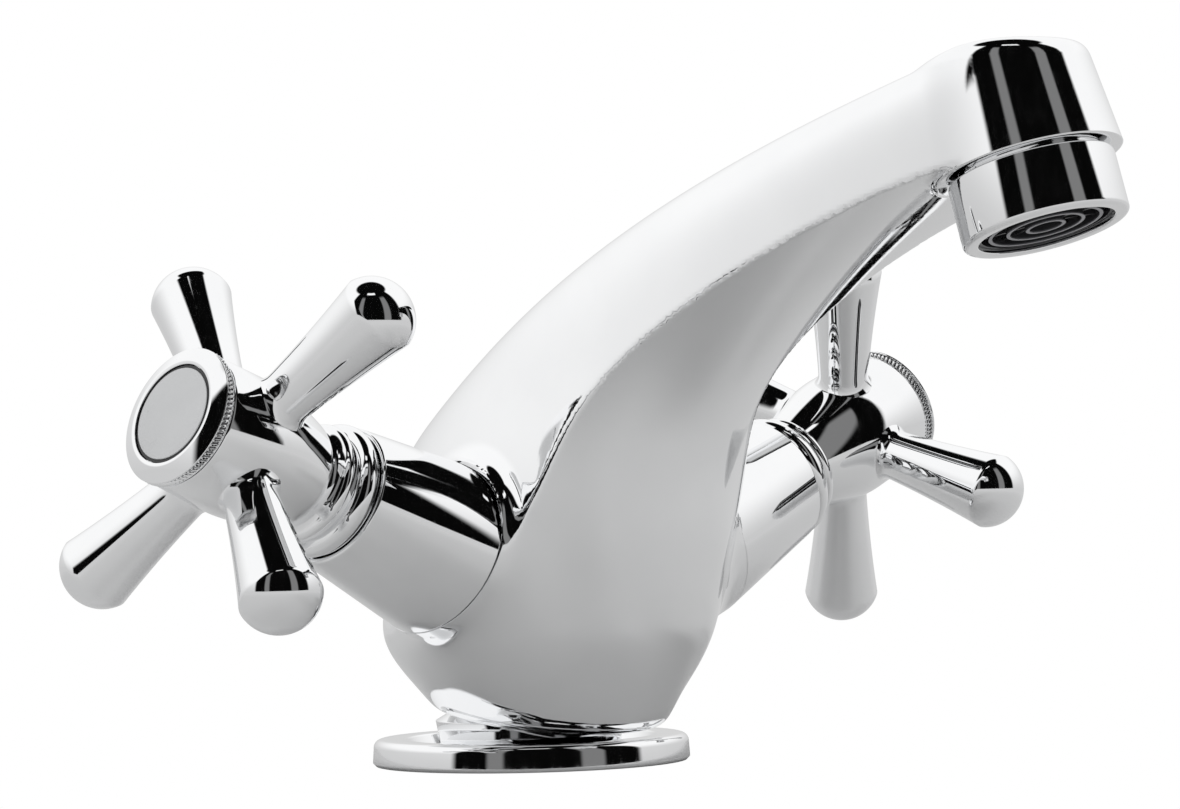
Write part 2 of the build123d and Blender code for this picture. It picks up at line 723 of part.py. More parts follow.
def handle_screw():
    """Socket screw through the handle's web into the spindle."""
    return turned(
        [
            (0, SCREW_START),
            (SCREW_R, SCREW_START),
            (SCREW_R, WEB_END),
            (SCREW_HEAD_R, WEB_END),
            (SCREW_HEAD_R, WEB_END + SCREW_HEAD),
            (SCREW_SOCKET_R, WEB_END + SCREW_HEAD),
            (SCREW_SOCKET_R, WEB_END + SCREW_HEAD - SCREW_SOCKET),
            (0, WEB_END + SCREW_HEAD - SCREW_SOCKET),
        ]
    )


def write(name, shape):
    """Export one named node."""
    shape = Compound(children=list(shape)) if isinstance(shape, list) else shape
    shape.label = name
    export_step(shape, f"parts/{name}.step")


def write_valve(label, side, first_arm):
    """Every piece of one valve, placed on its axis."""
    frame = valve_frame(side)
    pieces = {
        "shroud": shroud(),
        "bush": bush(),
        "seat_seal": seat_seal(),
        "fixed_disc": fixed_disc(),
        "turning_disc": turning_disc(),
        "spindle": spindle(),
        "spindle_o_rings": spindle_o_rings(),
        "circlip": circlip(),
        "handle": handle(first_arm),
        "cap_ring": cap_ring(),
        "index_disc": index_disc(),
        "handle_screw": handle_screw(),
    }
    for piece, shape in pieces.items():
        placed = [frame * one for one in shape] if isinstance(shape, list) else frame * shape
        write(f"{label}_{piece}", placed)


os.makedirs("parts", exist_ok=True)
write("body_casting", body_casting())
write("base_ring", base_ring())
write("base_gasket", base_gasket())
write("aerator_shell", aerator_shell())
write("aerator_insert", aerator_insert())
write("aerator_screen", aerator_screen())
write("aerator_washer", aerator_washer())
write_valve("hot", -1, HOT_ARM_ANGLE)
write_valve("cold", 1, COLD_ARM_ANGLE)
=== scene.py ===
import math

import bmesh
import bpy
import numpy as np
from mathutils import Matrix, Vector
from mathutils.bvhtree import BVHTree


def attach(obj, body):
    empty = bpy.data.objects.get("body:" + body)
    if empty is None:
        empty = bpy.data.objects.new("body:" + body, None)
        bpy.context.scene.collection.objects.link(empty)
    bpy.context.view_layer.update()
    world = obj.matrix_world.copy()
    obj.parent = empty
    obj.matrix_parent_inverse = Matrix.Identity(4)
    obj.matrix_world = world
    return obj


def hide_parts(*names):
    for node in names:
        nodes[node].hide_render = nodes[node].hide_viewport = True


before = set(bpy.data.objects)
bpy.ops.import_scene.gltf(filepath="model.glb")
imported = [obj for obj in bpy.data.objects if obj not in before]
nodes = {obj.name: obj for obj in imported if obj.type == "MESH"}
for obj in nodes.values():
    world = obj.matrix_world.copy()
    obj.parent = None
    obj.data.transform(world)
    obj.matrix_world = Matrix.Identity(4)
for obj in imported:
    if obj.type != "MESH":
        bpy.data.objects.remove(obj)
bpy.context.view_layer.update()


# Base ring.
# A turned brass cover plate, polished and chromed, with a rolled rim. It lies loose on the
# deck, and the foot of the casting stands in its recess.
MM = 0.001
RING_CORNERS = (
    (13.4, 0.0, 0.0),
    (25.5, 0.0, 0.0),
    (26.0, 0.5, 0.25),
    (25.75, 4.3, 1.3),
    (20.3, 4.3, 0.45),
    (19.4, 2.4, 0.3),
    (13.4, 2.4, 0.15),
)
CHROME_DARK = (0.9, 0.905, 0.915, 1)
CHROME_LIGHT = (0.97, 0.975, 0.98, 1)
CLOUD_SCALE = 70.0
CASTING_RIPPLE = 0.00001
HAIRLINE_STRETCH = (1.0, 1.0, 0.12)
HAIRLINE_TURN = (0.5, 0.3, 0.0)
HAIRLINE_SPREAD = (0.35, 0.75)


def rounded(corners, steps=7):
    """Closed outline of (radius, height) points, each corner turned into an arc of its own rounding."""
    points = []
    for place, (radius, height, rounding) in enumerate(corners):
        here = np.array((radius, height))
        if rounding == 0:
            points.append(here)
            continue
        back = np.array(corners[place - 1][:2]) - here
        ahead = np.array(corners[(place + 1) % len(corners)][:2]) - here
        back, ahead = back / np.linalg.norm(back), ahead / np.linalg.norm(ahead)
        half = math.acos(max(-1.0, min(1.0, float(back @ ahead)))) / 2
        inward = (back + ahead) / np.linalg.norm(back + ahead)
        centre = here + inward * rounding / math.sin(half)
        start = here + back * rounding / math.tan(half) - centre
        end = here + ahead * rounding / math.tan(half) - centre
        sweep = math.pi - 2 * half
        for step in range(steps + 1):
            share = step / steps
            before, after = math.sin(sweep * (1 - share)), math.sin(sweep * share)
            points.append(centre + (start * before + end * after) / math.sin(sweep))
    return points


def bow(start, through, end, steps=16):
    """Points along the arc from start to end that passes through a middle point."""
    (ax, ay), (bx, by), (cx, cy) = start, through, end
    twice = 2 * (ax * (by - cy) + bx * (cy - ay) + cx * (ay - by))
    squares = ax**2 + ay**2, bx**2 + by**2, cx**2 + cy**2
    ux = (squares[0] * (by - cy) + squares[1] * (cy - ay) + squares[2] * (ay - by)) / twice
    uy = (squares[0] * (cx - bx) + squares[1] * (ax - cx) + squares[2] * (bx - ax)) / twice
    radius = math.hypot(ax - ux, ay - uy)
    first, middle, last = (math.atan2(y - uy, x - ux) for x, y in (start, through, end))
    whole = (last - first) % math.tau
    if (middle - first) % math.tau > whole:
        whole -= math.tau
    arc = []
    for step in range(steps + 1):
        angle = first + whole * step / steps
        arc.append((ux + radius * math.cos(angle), uy + radius * math.sin(angle)))
    return arc


def turned(outline, place=Matrix.Identity(4), around=192):
    """Mesh data of a closed outline in millimetres, turned about the Z axis of a place."""
    outline = np.array(outline) * MM
    angles = np.arange(around) * math.tau / around
    grid = np.empty((around, len(outline), 3))
    grid[..., 0] = np.cos(angles)[:, None] * outline[:, 0]
    grid[..., 1] = np.sin(angles)[:, None] * outline[:, 0]
    grid[..., 2] = outline[:, 1]
    faces = []
    for turn in range(around):
        for point in range(len(outline)):
            after, beyond = (turn + 1) % around, (point + 1) % len(outline)
            faces.append([turn * len(outline) + point, after * len(outline) + point,
                          after * len(outline) + beyond, turn * len(outline) + beyond])
    mesh = bpy.data.meshes.new("turned")
    mesh.from_pydata(grid.reshape(-1, 3).tolist(), [], faces)
    work = bmesh.new()
    work.from_mesh(mesh)
    bmesh.ops.remove_doubles(work, verts=work.verts, dist=1e-8)
    bmesh.ops.dissolve_degenerate(work, edges=work.edges, dist=1e-8)
    bmesh.ops.recalc_face_normals(work, faces=work.faces)
    work.to_mesh(mesh)
    work.free()
    mesh.transform(place)
    return mesh


def shaded(mesh, sharp_from=24):
    """Smooth shading, with the edges sharper than an angle in degrees kept crisp."""
    mesh.shade_smooth()
    mesh.set_sharp_from_angle(angle=math.radians(sharp_from))
    return mesh


def piece(name, mesh, body, stands_for, finish):
    """Puts a finished mesh in the scene: on its body, in place of its plain solid, in its finish."""
    mesh.name = name
    made = bpy.data.objects.new(name, mesh)
    bpy.context.scene.collection.objects.link(made)
    mesh.materials.clear()
    mesh.materials.append(finish)
    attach(made, body)
    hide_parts(stands_for)


def material(name):
    """A new node material, its node tree and its Principled shader."""
    made = bpy.data.materials.new(name)
    made.use_nodes = True
    tree = made.node_tree
    return made, tree, tree.nodes["Principled BSDF"]


def filled(tree, made, **values):
    """Sets a node's properties and inputs by name. An output socket is linked to its input."""
    for key, value in values.items():
        label = key.replace("_", " ")
        if isinstance(value, bpy.types.NodeSocket):
            tree.links.new(value, made.inputs[label])
        elif hasattr(made, key):
            setattr(made, key, value)
        else:
            made.inputs[label].default_value = value
    return made


def node(tree, kind, **values):
    """A new node, filled in by name."""
    return filled(tree, tree.nodes.new(kind), **values)


def mixed(tree, share, first, second):
    """A colour between two others."""
    return node(tree, "ShaderNodeMix", data_type="RGBA", Factor=share, A=first, B=second).outputs["Result"]


def bumped(tree, height, strength, distance):
    """A normal bent by a height."""
    return node(tree, "ShaderNodeBump", Height=height, Strength=strength, Distance=distance).outputs["Normal"]


def noise(tree, place, scale, detail, roughness=0.5):
    """A cloudy noise from 0 to 1."""
    made = node(tree, "ShaderNodeTexNoise", Vector=place, Scale=scale, Detail=detail, Roughness=roughness)
    return made.outputs["Fac"]


def effect(name, **inputs):
    """A new shader node group with number inputs, and the sockets that give them."""
    tree = bpy.data.node_groups.new(name, "ShaderNodeTree")
    for key, default in inputs.items():
        label = key.replace("_", " ")
        socket = tree.interface.new_socket(label, in_out="INPUT", socket_type="NodeSocketFloat")
        socket.default_value = default
    return tree, tree.nodes.new("NodeGroupInput").outputs


def put_out(tree, **results):
    """Makes sockets of a shader node group its number outputs."""
    for label in results:
        tree.interface.new_socket(label, in_out="OUTPUT", socket_type="NodeSocketFloat")
    node(tree, "NodeGroupOutput", **results)
    return tree


def polish_effect():
    """Buffed metal: faint clouds in the colour, hairlines from the wheel, and a soft ripple."""
    tree, given = effect("buffed_metal", Cloud_Scale=60.0, Hairline_Scale=900.0, Least_Roughness=0.02,
                         Most_Roughness=0.07)
    place = node(tree, "ShaderNodeTexCoord").outputs["Object"]
    cloud = noise(tree, place, given["Cloud Scale"], detail=3.0, roughness=0.55)
    stretch = node(tree, "ShaderNodeMapping", Vector=place, Scale=HAIRLINE_STRETCH, Rotation=HAIRLINE_TURN)
    hairlines = noise(tree, stretch.outputs["Vector"], given["Hairline Scale"], detail=2.0, roughness=0.6)
    least, most = HAIRLINE_SPREAD
    spread = node(tree, "ShaderNodeMapRange", interpolation_type="SMOOTHSTEP", Value=hairlines,
                  From_Min=least, From_Max=most)
    filled(tree, spread, To_Min=given["Least Roughness"], To_Max=given["Most Roughness"])
    return put_out(tree, Cloud=cloud, Roughness=spread.outputs["Result"], Height=cloud)


buffed = polish_effect()


def chrome_finish(name, cloud_scale=CLOUD_SCALE, ripple=CASTING_RIPPLE, dark=CHROME_DARK, light=CHROME_LIGHT):
    """Chrome plate over brass, between two shades."""
    made, tree, shader = material(name)
    polish = node(tree, "ShaderNodeGroup", node_tree=buffed, Cloud_Scale=cloud_scale).outputs
    filled(tree, shader, Base_Color=mixed(tree, polish["Cloud"], dark, light), Roughness=polish["Roughness"],
           Normal=bumped(tree, polish["Height"], strength=0.5, distance=ripple), Metallic=1.0)
    return made


chrome = chrome_finish("bright_chrome")
piece("base_ring_turned", shaded(turned(rounded(RING_CORNERS))), "mixer", "base_ring", chrome)


# Base gasket.
# A flat rubber ring pressed into the groove under the base ring, where it seals the ring to the
# deck. Punched from sheet, so it is matt and very slightly mottled.
RUBBER_DARK = (0.012, 0.012, 0.013, 1)
RUBBER_PALE = (0.03, 0.03, 0.032, 1)
RUBBER_ROUGHNESS = (0.5, 0.75)


def moulded_effect():
    """Moulded surface: a soft mottle and a fine grain."""
    tree, given = effect("moulded_grain", Mottle_Scale=120.0, Grain_Scale=2200.0)
    place = node(tree, "ShaderNodeTexCoord").outputs["Object"]
    mottle = noise(tree, place, given["Mottle Scale"], detail=4.0, roughness=0.6)
    return put_out(tree, Mottle=mottle, Grain=noise(tree, place, given["Grain Scale"], detail=2.0))


moulded = moulded_effect()


def moulded_finish(name, dark, pale, roughness, grain_height, mottle_scale=120.0):
    """A moulded or fired material between two shades, with grain."""
    made, tree, shader = material(name)
    grain = node(tree, "ShaderNodeGroup", node_tree=moulded, Mottle_Scale=mottle_scale).outputs
    least, most = roughness
    gloss = node(tree, "ShaderNodeMapRange", Value=grain["Mottle"], To_Min=least, To_Max=most)
    colour = mixed(tree, grain["Mottle"], dark, pale)
    filled(tree, shader, Base_Color=colour, Roughness=gloss.outputs["Result"],
           Normal=bumped(tree, grain["Grain"], strength=0.6, distance=grain_height))
    return made


def dressed(name, finish):
    """Gives a plain solid its own finish and leaves its mesh as it is."""
    nodes[name].data.materials.clear()
    nodes[name].data.materials.append(finish)


rubber = moulded_finish("black_rubber_sheet", RUBBER_DARK, RUBBER_PALE, RUBBER_ROUGHNESS,
                        grain_height=0.00002)
dressed("base_gasket", rubber)


# Body casting.
# One brass casting, ground, polished and chromed: the bowl over the ring, the waist and the arched
# spout with its round head, and a flared port for each valve. The foot is turned and goes through
# the ring; the ports, the inlets and the outlet are bored.
BOWL_MIDDLE = -4.6
# Rows of the bowl: radius, height, slant in degrees.
BOWL_ROWS = ((18.6, 7.4, 8.0), (21.8, 13.0, 3.0), (27.0, 23.0, 3.0))
BOWL_LEAD = 0.2
# Rows of the spout: crease back and up, ridge back and up, half width, bulge of the underside,
# roundness of the underside, squareness of the top.
SPOUT_ROWS = (
    (-31.3, 39.5, 28.0, 58.0, 25.6, 3.0, 0.3, 0.0),
    (-31.3, 48.0, 19.5, 54.5, 24.0, 6.0, 0.0, 0.0),
    (-23.0, 60.0, 13.0, 51.0, 18.5, 8.0, 0.0, 0.2),
    (-39.5, 65.0, 6.5, 76.5, 18.5, 3.0, 0.0, 0.3),
    (-68.0, 84.5, -30.0, 92.0, 14.5, 1.5, 0.0, 0.35),
    (-106.8, 90.9, -106.8, 108.9, 14.0, 0.8, 0.0, 1.0),
)
ROUND_HALF = ((1, 0), (1, 0.628), (0.5065, 1.286))
SQUARE_HALF = ((1, 0), (0.88, 1.6), (1.2, 0.8))
LENS_HALF = ((1, 0), (0.6, 0.8), (0.2, 1.2))
SKIN_STEPS = (30, 240)
HALF_PULLS, FINE_STEPS, HALF_RING = 6, 400, 150
END_RINGS, END_STEP = 12, 0.7
SOFT_REACH, SOFT_ROUND, SOFT_ALONG = 8, 1.3, 2.5
# Head: middle of its lower rim and tilt of the outlet, then its cone, edges and falling top.
HEAD_Y, HEAD_Z, HEAD_TILT = -107.2, 90.6, 16.5
HEAD_R, HEAD_TAPER, HEAD_TOP = 14.1, 0.1033, 109.0
HEAD_ROUND, HEAD_MELT, HEAD_INSET, INSET_RUN = 2.5, 1.6, 0.3, 12
HEAD_FALL, FALL_BEHIND, FALL_ROUND = 0.27, 1, 1.5
MOUTH_AT, CUT_ROUND = 2.0, 0.2
# Valves: start and rise of their axes, then the ports round them.
VALVE_Y, VALVE_Z, VALVE_RISE = -8.5, 24.3, 22.2
PORT_R, FLARE_R, FLARE_AT, PORT_ROOT, PORT_MELT = 14.1, 36.85, 28.0, 12.0, 4.5
PORT_FACE = 31.5
# Rough shapes under the finished surface, and the size of its faces.
MESH_STEP = 0.65
ROUGH_HEAD = ((0, 2), (HEAD_R + 0.2, 2), (HEAD_R - 30 * HEAD_TAPER, -30), (0, -30))
OVER_HEAD = ((0, HEAD_TOP), (40, HEAD_TOP), (40, 150), (0, 150))
ROUGH_ROOT, ROUGH_FLARE = 6.0, ((21.36, 6.0), (15.75, 17.4))


def valve_place(side):
    """Place whose Z runs out along the valve axis, -1 hot or +1 cold."""
    rise = math.radians(VALVE_RISE)
    out = Vector((side * math.cos(rise), 0, math.sin(rise)))
    first = Vector((0, -side, 0))
    turn = Matrix((first, out.cross(first), out)).transposed().to_4x4()
    return Matrix.Translation((0, VALVE_Y * MM, VALVE_Z * MM)) @ turn


def outlet_place():
    """Place at the head's lower rim whose Z runs down along the outlet."""
    tilt = math.radians(HEAD_TILT)
    down = Vector((0, -math.sin(tilt), -math.cos(tilt)))
    first = Vector((1, 0, 0))
    turn = Matrix((first, down.cross(first), down)).transposed().to_4x4()
    return Matrix.Translation((0, HEAD_Y * MM, HEAD_Z * MM)) @ turn


def half_row(crease, ridge, half, depth, outline):
    """Pull points of one half of a section, mirrored over the middle plane."""
    up = np.subtract(ridge, crease) / math.dist(ridge, crease)
    points = [(half * x, crease[0] + depth * y * up[0], crease[1] + depth * y * up[1]) for x, y in outline]
    return np.array(points + [(-x, y, z) for x, y, z in reversed(points)])


def between(first, second, share):
    """Outline part of the way from one outline to another."""
    return np.array(first) * (1 - share) + np.array(second) * share


def casting_rows():
    """Pull points of the bowl's rows and of the spout's rows, each as upper and lower halves."""
    bowl = []
    for radius, height, slant in BOWL_ROWS:
        pair = []
        for depth in (radius, -radius):
            row = half_row((BOWL_MIDDLE, height), (BOWL_MIDDLE + radius, height), radius, depth, ROUND_HALF)
            row[:, 2] += (row[:, 1] - BOWL_MIDDLE) * math.tan(math.radians(slant))
            pair.append(row)
        bowl.append(pair)
    spout = [bowl[-1]]
    for crease_y, crease_z, ridge_y, ridge_z, half, bulge, roundness, squareness in SPOUT_ROWS:
        crease, ridge = (crease_y, crease_z), (ridge_y, ridge_z)
        top, under = between(ROUND_HALF, SQUARE_HALF, squareness), between(LENS_HALF, ROUND_HALF, roundness)
        above = half_row(crease, ridge, half, math.dist(crease, ridge), top)
        below = half_row(crease, ridge, half, -bulge, under)
        spout.append([above, below])
    bowl, spout = np.array(bowl), np.array(spout)
    lead = bowl[-1] - BOWL_LEAD * (spout[1] - bowl[-1])
    return np.concatenate([bowl[:2], lead[None], bowl[2:]]), spout


def blend_weights(count, samples):
    """Share of each pull point at even steps along a skin."""
    shares = np.linspace(0, 1, samples)[:, None]
    order = np.arange(count)
    choices = np.array([math.comb(count - 1, k) for k in order])
    return choices * shares**order * (1 - shares) ** (count - 1 - order)


def softened(values, width, axis):
    """Average over near neighbours along one axis, which takes SOFT_REACH off each of its ends."""
    reach = np.arange(-SOFT_REACH, SOFT_REACH + 1)
    weights = np.exp(-0.5 * (reach / width) ** 2)
    weights /= weights.sum()
    size = values.shape[axis] - 2 * SOFT_REACH
    return sum(w * np.take(values, np.arange(size) + k, axis=axis) for k, w in enumerate(weights))


def skin_rings():
    """Rings of points round the bowl and the spout, from foot to head, drawn in at both ends."""
    rings = []
    for rows, steps in zip(casting_rows(), SKIN_STEPS):
        halves = []
        for side in (0, 1):
            pull = rows[:, side].reshape(len(rows), -1)
            lines = (blend_weights(len(rows), steps) @ pull).reshape(steps, HALF_PULLS, 3)
            fine = np.einsum("vk,ukc->uvc", blend_weights(HALF_PULLS, FINE_STEPS), lines)
            even = np.empty((steps, HALF_RING + 1, 3))
            for step in range(steps):
                run = np.concatenate([[0], np.cumsum(np.linalg.norm(np.diff(fine[step], axis=0), axis=1))])
                stops = np.linspace(0, run[-1], HALF_RING + 1)
                for axis in range(3):
                    even[step, :, axis] = np.interp(stops, run, fine[step, :, axis])
            halves.append(even)
        rings.append(np.concatenate([halves[0][:, :-1], halves[1][:, :0:-1]], axis=1))
    rings = np.concatenate([rings[0][:-1], rings[1]])
    ends = []
    for ring in (rings[0], rings[-1]):
        centre = ring.mean(axis=0)
        reach = np.linalg.norm(ring - centre, axis=1).mean()
        ends.append([centre + (ring - centre) * (1 - k * END_STEP / reach) for k in range(1, END_RINGS + 1)])
    rings = np.concatenate([np.array(ends[0][::-1]), rings, np.array(ends[1])])
    rings = np.concatenate([rings[:, -SOFT_REACH:], rings, rings[:, :SOFT_REACH]], axis=1)
    rings = softened(rings, SOFT_ROUND, 1)
    before = 2 * rings[:1] - rings[SOFT_REACH:0:-1]
    after = 2 * rings[-1:] - rings[-2:-2 - SOFT_REACH:-1]
    return softened(np.concatenate([before, rings, after]), SOFT_ALONG, 0)


def skin_mesh(rings):
    """Points and outward triangles of the closed skin."""
    count, around = rings.shape[:2]
    points = np.concatenate([rings.reshape(-1, 3), [rings[0].mean(axis=0), rings[-1].mean(axis=0)]])
    row, column = np.meshgrid(np.arange(count - 1), np.arange(around), indexing="ij")
    a, b = row * around + column, row * around + (column + 1) % around
    sides = [np.stack([a, b, b + around], -1), np.stack([a, b + around, a + around], -1)]
    first, turn = np.arange(around), (np.arange(around) + 1) % around
    last = (count - 1) * around
    foot = np.stack([np.full(around, count * around), turn, first], -1)
    top = np.stack([np.full(around, count * around + 1), last + first, last + turn], -1)
    return points, np.concatenate([sides[0].reshape(-1, 3), sides[1].reshape(-1, 3), foot, top])


def unit(vectors):
    """Vectors of length one."""
    return vectors / np.maximum(np.linalg.norm(vectors, axis=-1, keepdims=True), 1e-12)


skin_points, skin_faces = skin_mesh(skin_rings())
skin_tree = BVHTree.FromPolygons(skin_points.tolist(), skin_faces.tolist(), all_triangles=True)
flat = np.cross(*(skin_points[skin_faces[:, k]] - skin_points[skin_faces[:, 0]] for k in (1, 2)))
skin_normals = np.zeros_like(skin_points)
for corner in range(3):
    np.add.at(skin_normals, skin_faces[:, corner], flat)
skin_normals = unit(skin_normals)


def skin_field(points):
    """Height of points over the skin, which dips under the head, and the direction out of it."""
    found = [skin_tree.find_nearest(point) for point in points.tolist()]
    near = np.array([hit[0] for hit in found])
    corners = skin_faces[[hit[2] for hit in found]]
    a, b, c = (skin_points[corners[:, k]] for k in range(3))
    whole = np.cross(b - a, c - a)
    size = np.maximum((whole * whole).sum(1), 1e-12)
    share_b = (np.cross(near - a, c - a) * whole).sum(1) / size
    share_c = (np.cross(b - a, near - a) * whole).sum(1) / size
    shares = np.stack([1 - share_b - share_c, share_b, share_c], 1)
    out = unit((skin_normals[corners] * shares[..., None]).sum(1))
    height = ((points - near) * out).sum(1)
    share = np.clip((HEAD_Y + INSET_RUN - points[:, 1]) / INSET_RUN, 0, 1)
    return height + HEAD_INSET * share * share * (3 - 2 * share), out


def melted(first, second, width):
    """Two shapes run together over a width, as metal cast in one piece."""
    (a, out_a), (b, out_b) = first, second
    share = np.clip(0.5 + 0.5 * (b - a) / width, 0, 1)
    return b + (a - b) * share - width * share * (1 - share), out_b + (out_a - out_b) * share[:, None]


def trimmed(first, second, width):
    """What two shapes share, with the edge between them rounded over a width."""
    value, out = melted((-first[0], -first[1]), (-second[0], -second[1]), width)
    return -value, -out


def about(points, place):
    """Distance along and from the axis of a place, and both directions."""
    axis, start = np.array(place.col[2][:3]), np.array(place.translation) / MM
    along = (points - start) @ axis
    off = points - start - along[:, None] * axis
    distance = np.linalg.norm(off, axis=1)
    return along, distance, axis, off / np.maximum(distance, 1e-9)[:, None]


def head_field(points):
    """The tapered round head. Its top has a round edge, is level in front and falls behind."""
    along, off, axis, out = about(points, outlet_place())
    lean = math.hypot(1, HEAD_TAPER)
    cone = (off - HEAD_R - HEAD_TAPER * along) / lean, (out - HEAD_TAPER * axis) / lean
    level = points[:, 2] - HEAD_TOP, np.tile((0.0, 0.0, 1.0), (len(points), 1))
    steep = math.hypot(1, HEAD_FALL)
    back = (points[:, 2] - HEAD_TOP + HEAD_FALL * (points[:, 1] - HEAD_Y - FALL_BEHIND)) / steep
    slope = back, np.tile((0.0, HEAD_FALL / steep, 1 / steep), (len(points), 1))
    top = trimmed(level, slope, FALL_ROUND)
    mouth = along - MOUTH_AT, np.tile(axis, (len(points), 1))
    return trimmed(trimmed(cone, top, HEAD_ROUND), mouth, CUT_ROUND)


def port_field(points, side):
    """The flared port of one valve."""
    along, off, axis, out = about(points, valve_place(side))
    inside = np.minimum(off - PORT_R - FLARE_R, 0)
    reach = np.maximum(np.hypot(inside, along - FLARE_AT), 1e-9)
    flare = FLARE_R - reach
    lean = -(inside[:, None] * out + (along - FLARE_AT)[:, None] * axis) / reach[:, None]
    straight = along > FLARE_AT
    shape = np.where(straight, off - PORT_R, flare), np.where(straight[:, None], out, lean)
    shape = trimmed(shape, (PORT_ROOT - along, np.tile(-axis, (len(points), 1))), PORT_MELT)
    return trimmed(shape, (along - PORT_FACE, np.tile(axis, (len(points), 1))), CUT_ROUND)


def casting_field(points):
    """The whole outside of the casting above its foot."""
    value = melted(skin_field(points), head_field(points), HEAD_MELT)
    for side in (-1, 1):
        value = melted(value, port_field(points, side), PORT_MELT)
    return value


def evaluated(holder):
    """Mesh of an object with its modifiers carried out; the object goes."""
    bpy.context.view_layer.update()
    mesh = bpy.data.meshes.new_from_object(holder.evaluated_get(bpy.context.evaluated_depsgraph_get()))
    bpy.data.objects.remove(holder)
    return mesh


def carried(name, mesh):
    """An object that carries a mesh through its modifiers."""
    holder = bpy.data.objects.new(name, mesh)
    bpy.context.scene.collection.objects.link(holder)
    return holder


def combined(base, others, how):
    """A mesh with others united with it or cut out of it."""
    holder = carried("base", base)
    tools = [carried("tool", other) for other in others]
    for tool in tools:
        step = holder.modifiers.new("step", "BOOLEAN")
        step.operation, step.solver, step.object = how, "MANIFOLD", tool
    mesh = evaluated(holder)
    for tool in tools:
        bpy.data.objects.remove(tool)
    return mesh


def read_points(mesh):
    """Points of a mesh in millimetres."""
    flat = np.empty(len(mesh.vertices) * 3)
    mesh.vertices.foreach_get("co", flat)
    return flat.reshape(-1, 3) / MM


def rough_casting():
    """Skin, head and ports run together on an even grid of faces."""
    skin = bpy.data.meshes.new("skin")
    skin.from_pydata((skin_points * MM).tolist(), [], skin_faces.tolist())
    cone = turned(ROUGH_HEAD, outlet_place(), around=96)
    above = turned(OVER_HEAD, Matrix.Translation((0, HEAD_Y * MM, 0)), around=48)
    shapes = [skin, combined(cone, [above], "DIFFERENCE")]
    port = [(0, ROUGH_ROOT)] + bow(*ROUGH_FLARE, (PORT_R, FLARE_AT)) + [(PORT_R, PORT_FACE), (0, PORT_FACE)]
    for side in (-1, 1):
        shapes.append(turned(port, valve_place(side), around=96))
    work = bmesh.new()
    for shape in shapes:
        work.from_mesh(shape)
    whole = bpy.data.meshes.new("rough")
    work.to_mesh(whole)
    work.free()
    holder = carried("rough", whole)
    grid = holder.modifiers.new("grid", "REMESH")
    grid.mode, grid.voxel_size = "VOXEL", MESH_STEP * MM
    return evaluated(holder)


def settled(mesh, rounds=5, even_rounds=3, evening=0.6, least_slope=0.05, longest_step=1.2):
    """Evens out a mesh and lays every point of it on the casting's surface."""
    points = read_points(mesh)
    edges = np.empty(len(mesh.edges) * 2, dtype=np.int64)
    mesh.edges.foreach_get("vertices", edges)
    a, b = edges.reshape(-1, 2).T
    neighbours = np.bincount(a, minlength=len(points)) + np.bincount(b, minlength=len(points))
    for turn in range(rounds):
        if turn < even_rounds:
            around = np.zeros_like(points)
            for axis in range(3):
                around[:, axis] = (np.bincount(a, points[b, axis], len(points))
                                   + np.bincount(b, points[a, axis], len(points)))
            points = points * (1 - evening) + evening * around / neighbours[:, None]
        value, out = casting_field(points)
        step = out * (value / np.maximum((out * out).sum(1), least_slope))[:, None]
        length = np.linalg.norm(step, axis=1, keepdims=True)
        points = points - step * np.minimum(1, longest_step / np.maximum(length, 1e-9))
    mesh.vertices.foreach_set("co", (points * MM).ravel())
    mesh.update()
    return mesh


FOOT_CORNERS = ((0, 0.6, 0), (12.9, 0.6, 0.4), (12.9, 2.4, 0.15), (14.7, 2.4, 0.3), (15.6, 7.2, 0.2),
                (13.2, 8.6, 0.4), (13.2, 20.0, 0), (0, 20.0, 0))
NIPPLE_CORNERS = ((0, -2.0, 0), (10.8, -2.0, 0), (10.8, 5.0, 0.5), (0, 5.0, 0))
RIM_R, RIM_ROUND, RIM_STEPS = 13.75, 0.4, 8
RIM_CUT = [(0, 0)]
for swing in np.linspace(0, math.pi / 2, RIM_STEPS):
    RIM_CUT.append((RIM_R + RIM_ROUND * math.sin(swing), RIM_ROUND * math.cos(swing) - RIM_ROUND))
RIM_CUT += [(16.0, -RIM_ROUND), (16.0, 4.0), (0, 4.0)]
PORT_CUT = ((0, 11.5), (4.5, 11.5), (4.5, 14), (10.5, 14), (10.5, 30), (14.4, 30), (14.4, 54), (0, 54))
OUTLET_CUT = ((0, -7.5), (8.0, -7.5), (8.0, 6.5), (0, 6.5))
# Holes in the foot: place across and back, radius, height of the blind end.
FOOT_HOLES = ((-6.3, -3.5, 4.5, 12.6), (6.3, -3.5, 4.5, 12.6), (0, 6.6, 3.4, 14.6))
casting = settled(rough_casting())
casting = combined(casting, [turned(RIM_CUT, outlet_place())], "DIFFERENCE")
foot, nipple = turned(rounded(FOOT_CORNERS)), turned(rounded(NIPPLE_CORNERS), outlet_place())
casting = combined(casting, [foot, nipple], "UNION")
cuts = [turned(PORT_CUT, valve_place(side)) for side in (-1, 1)] + [turned(OUTLET_CUT, outlet_place())]
for x, y, radius, top in FOOT_HOLES:
    hole = [(0, -1), (radius, -1), (radius, top), (0, top)]
    cuts.append(turned(hole, Matrix.Translation((x * MM, y * MM, 0)), around=64))
casting = combined(casting, cuts, "DIFFERENCE")


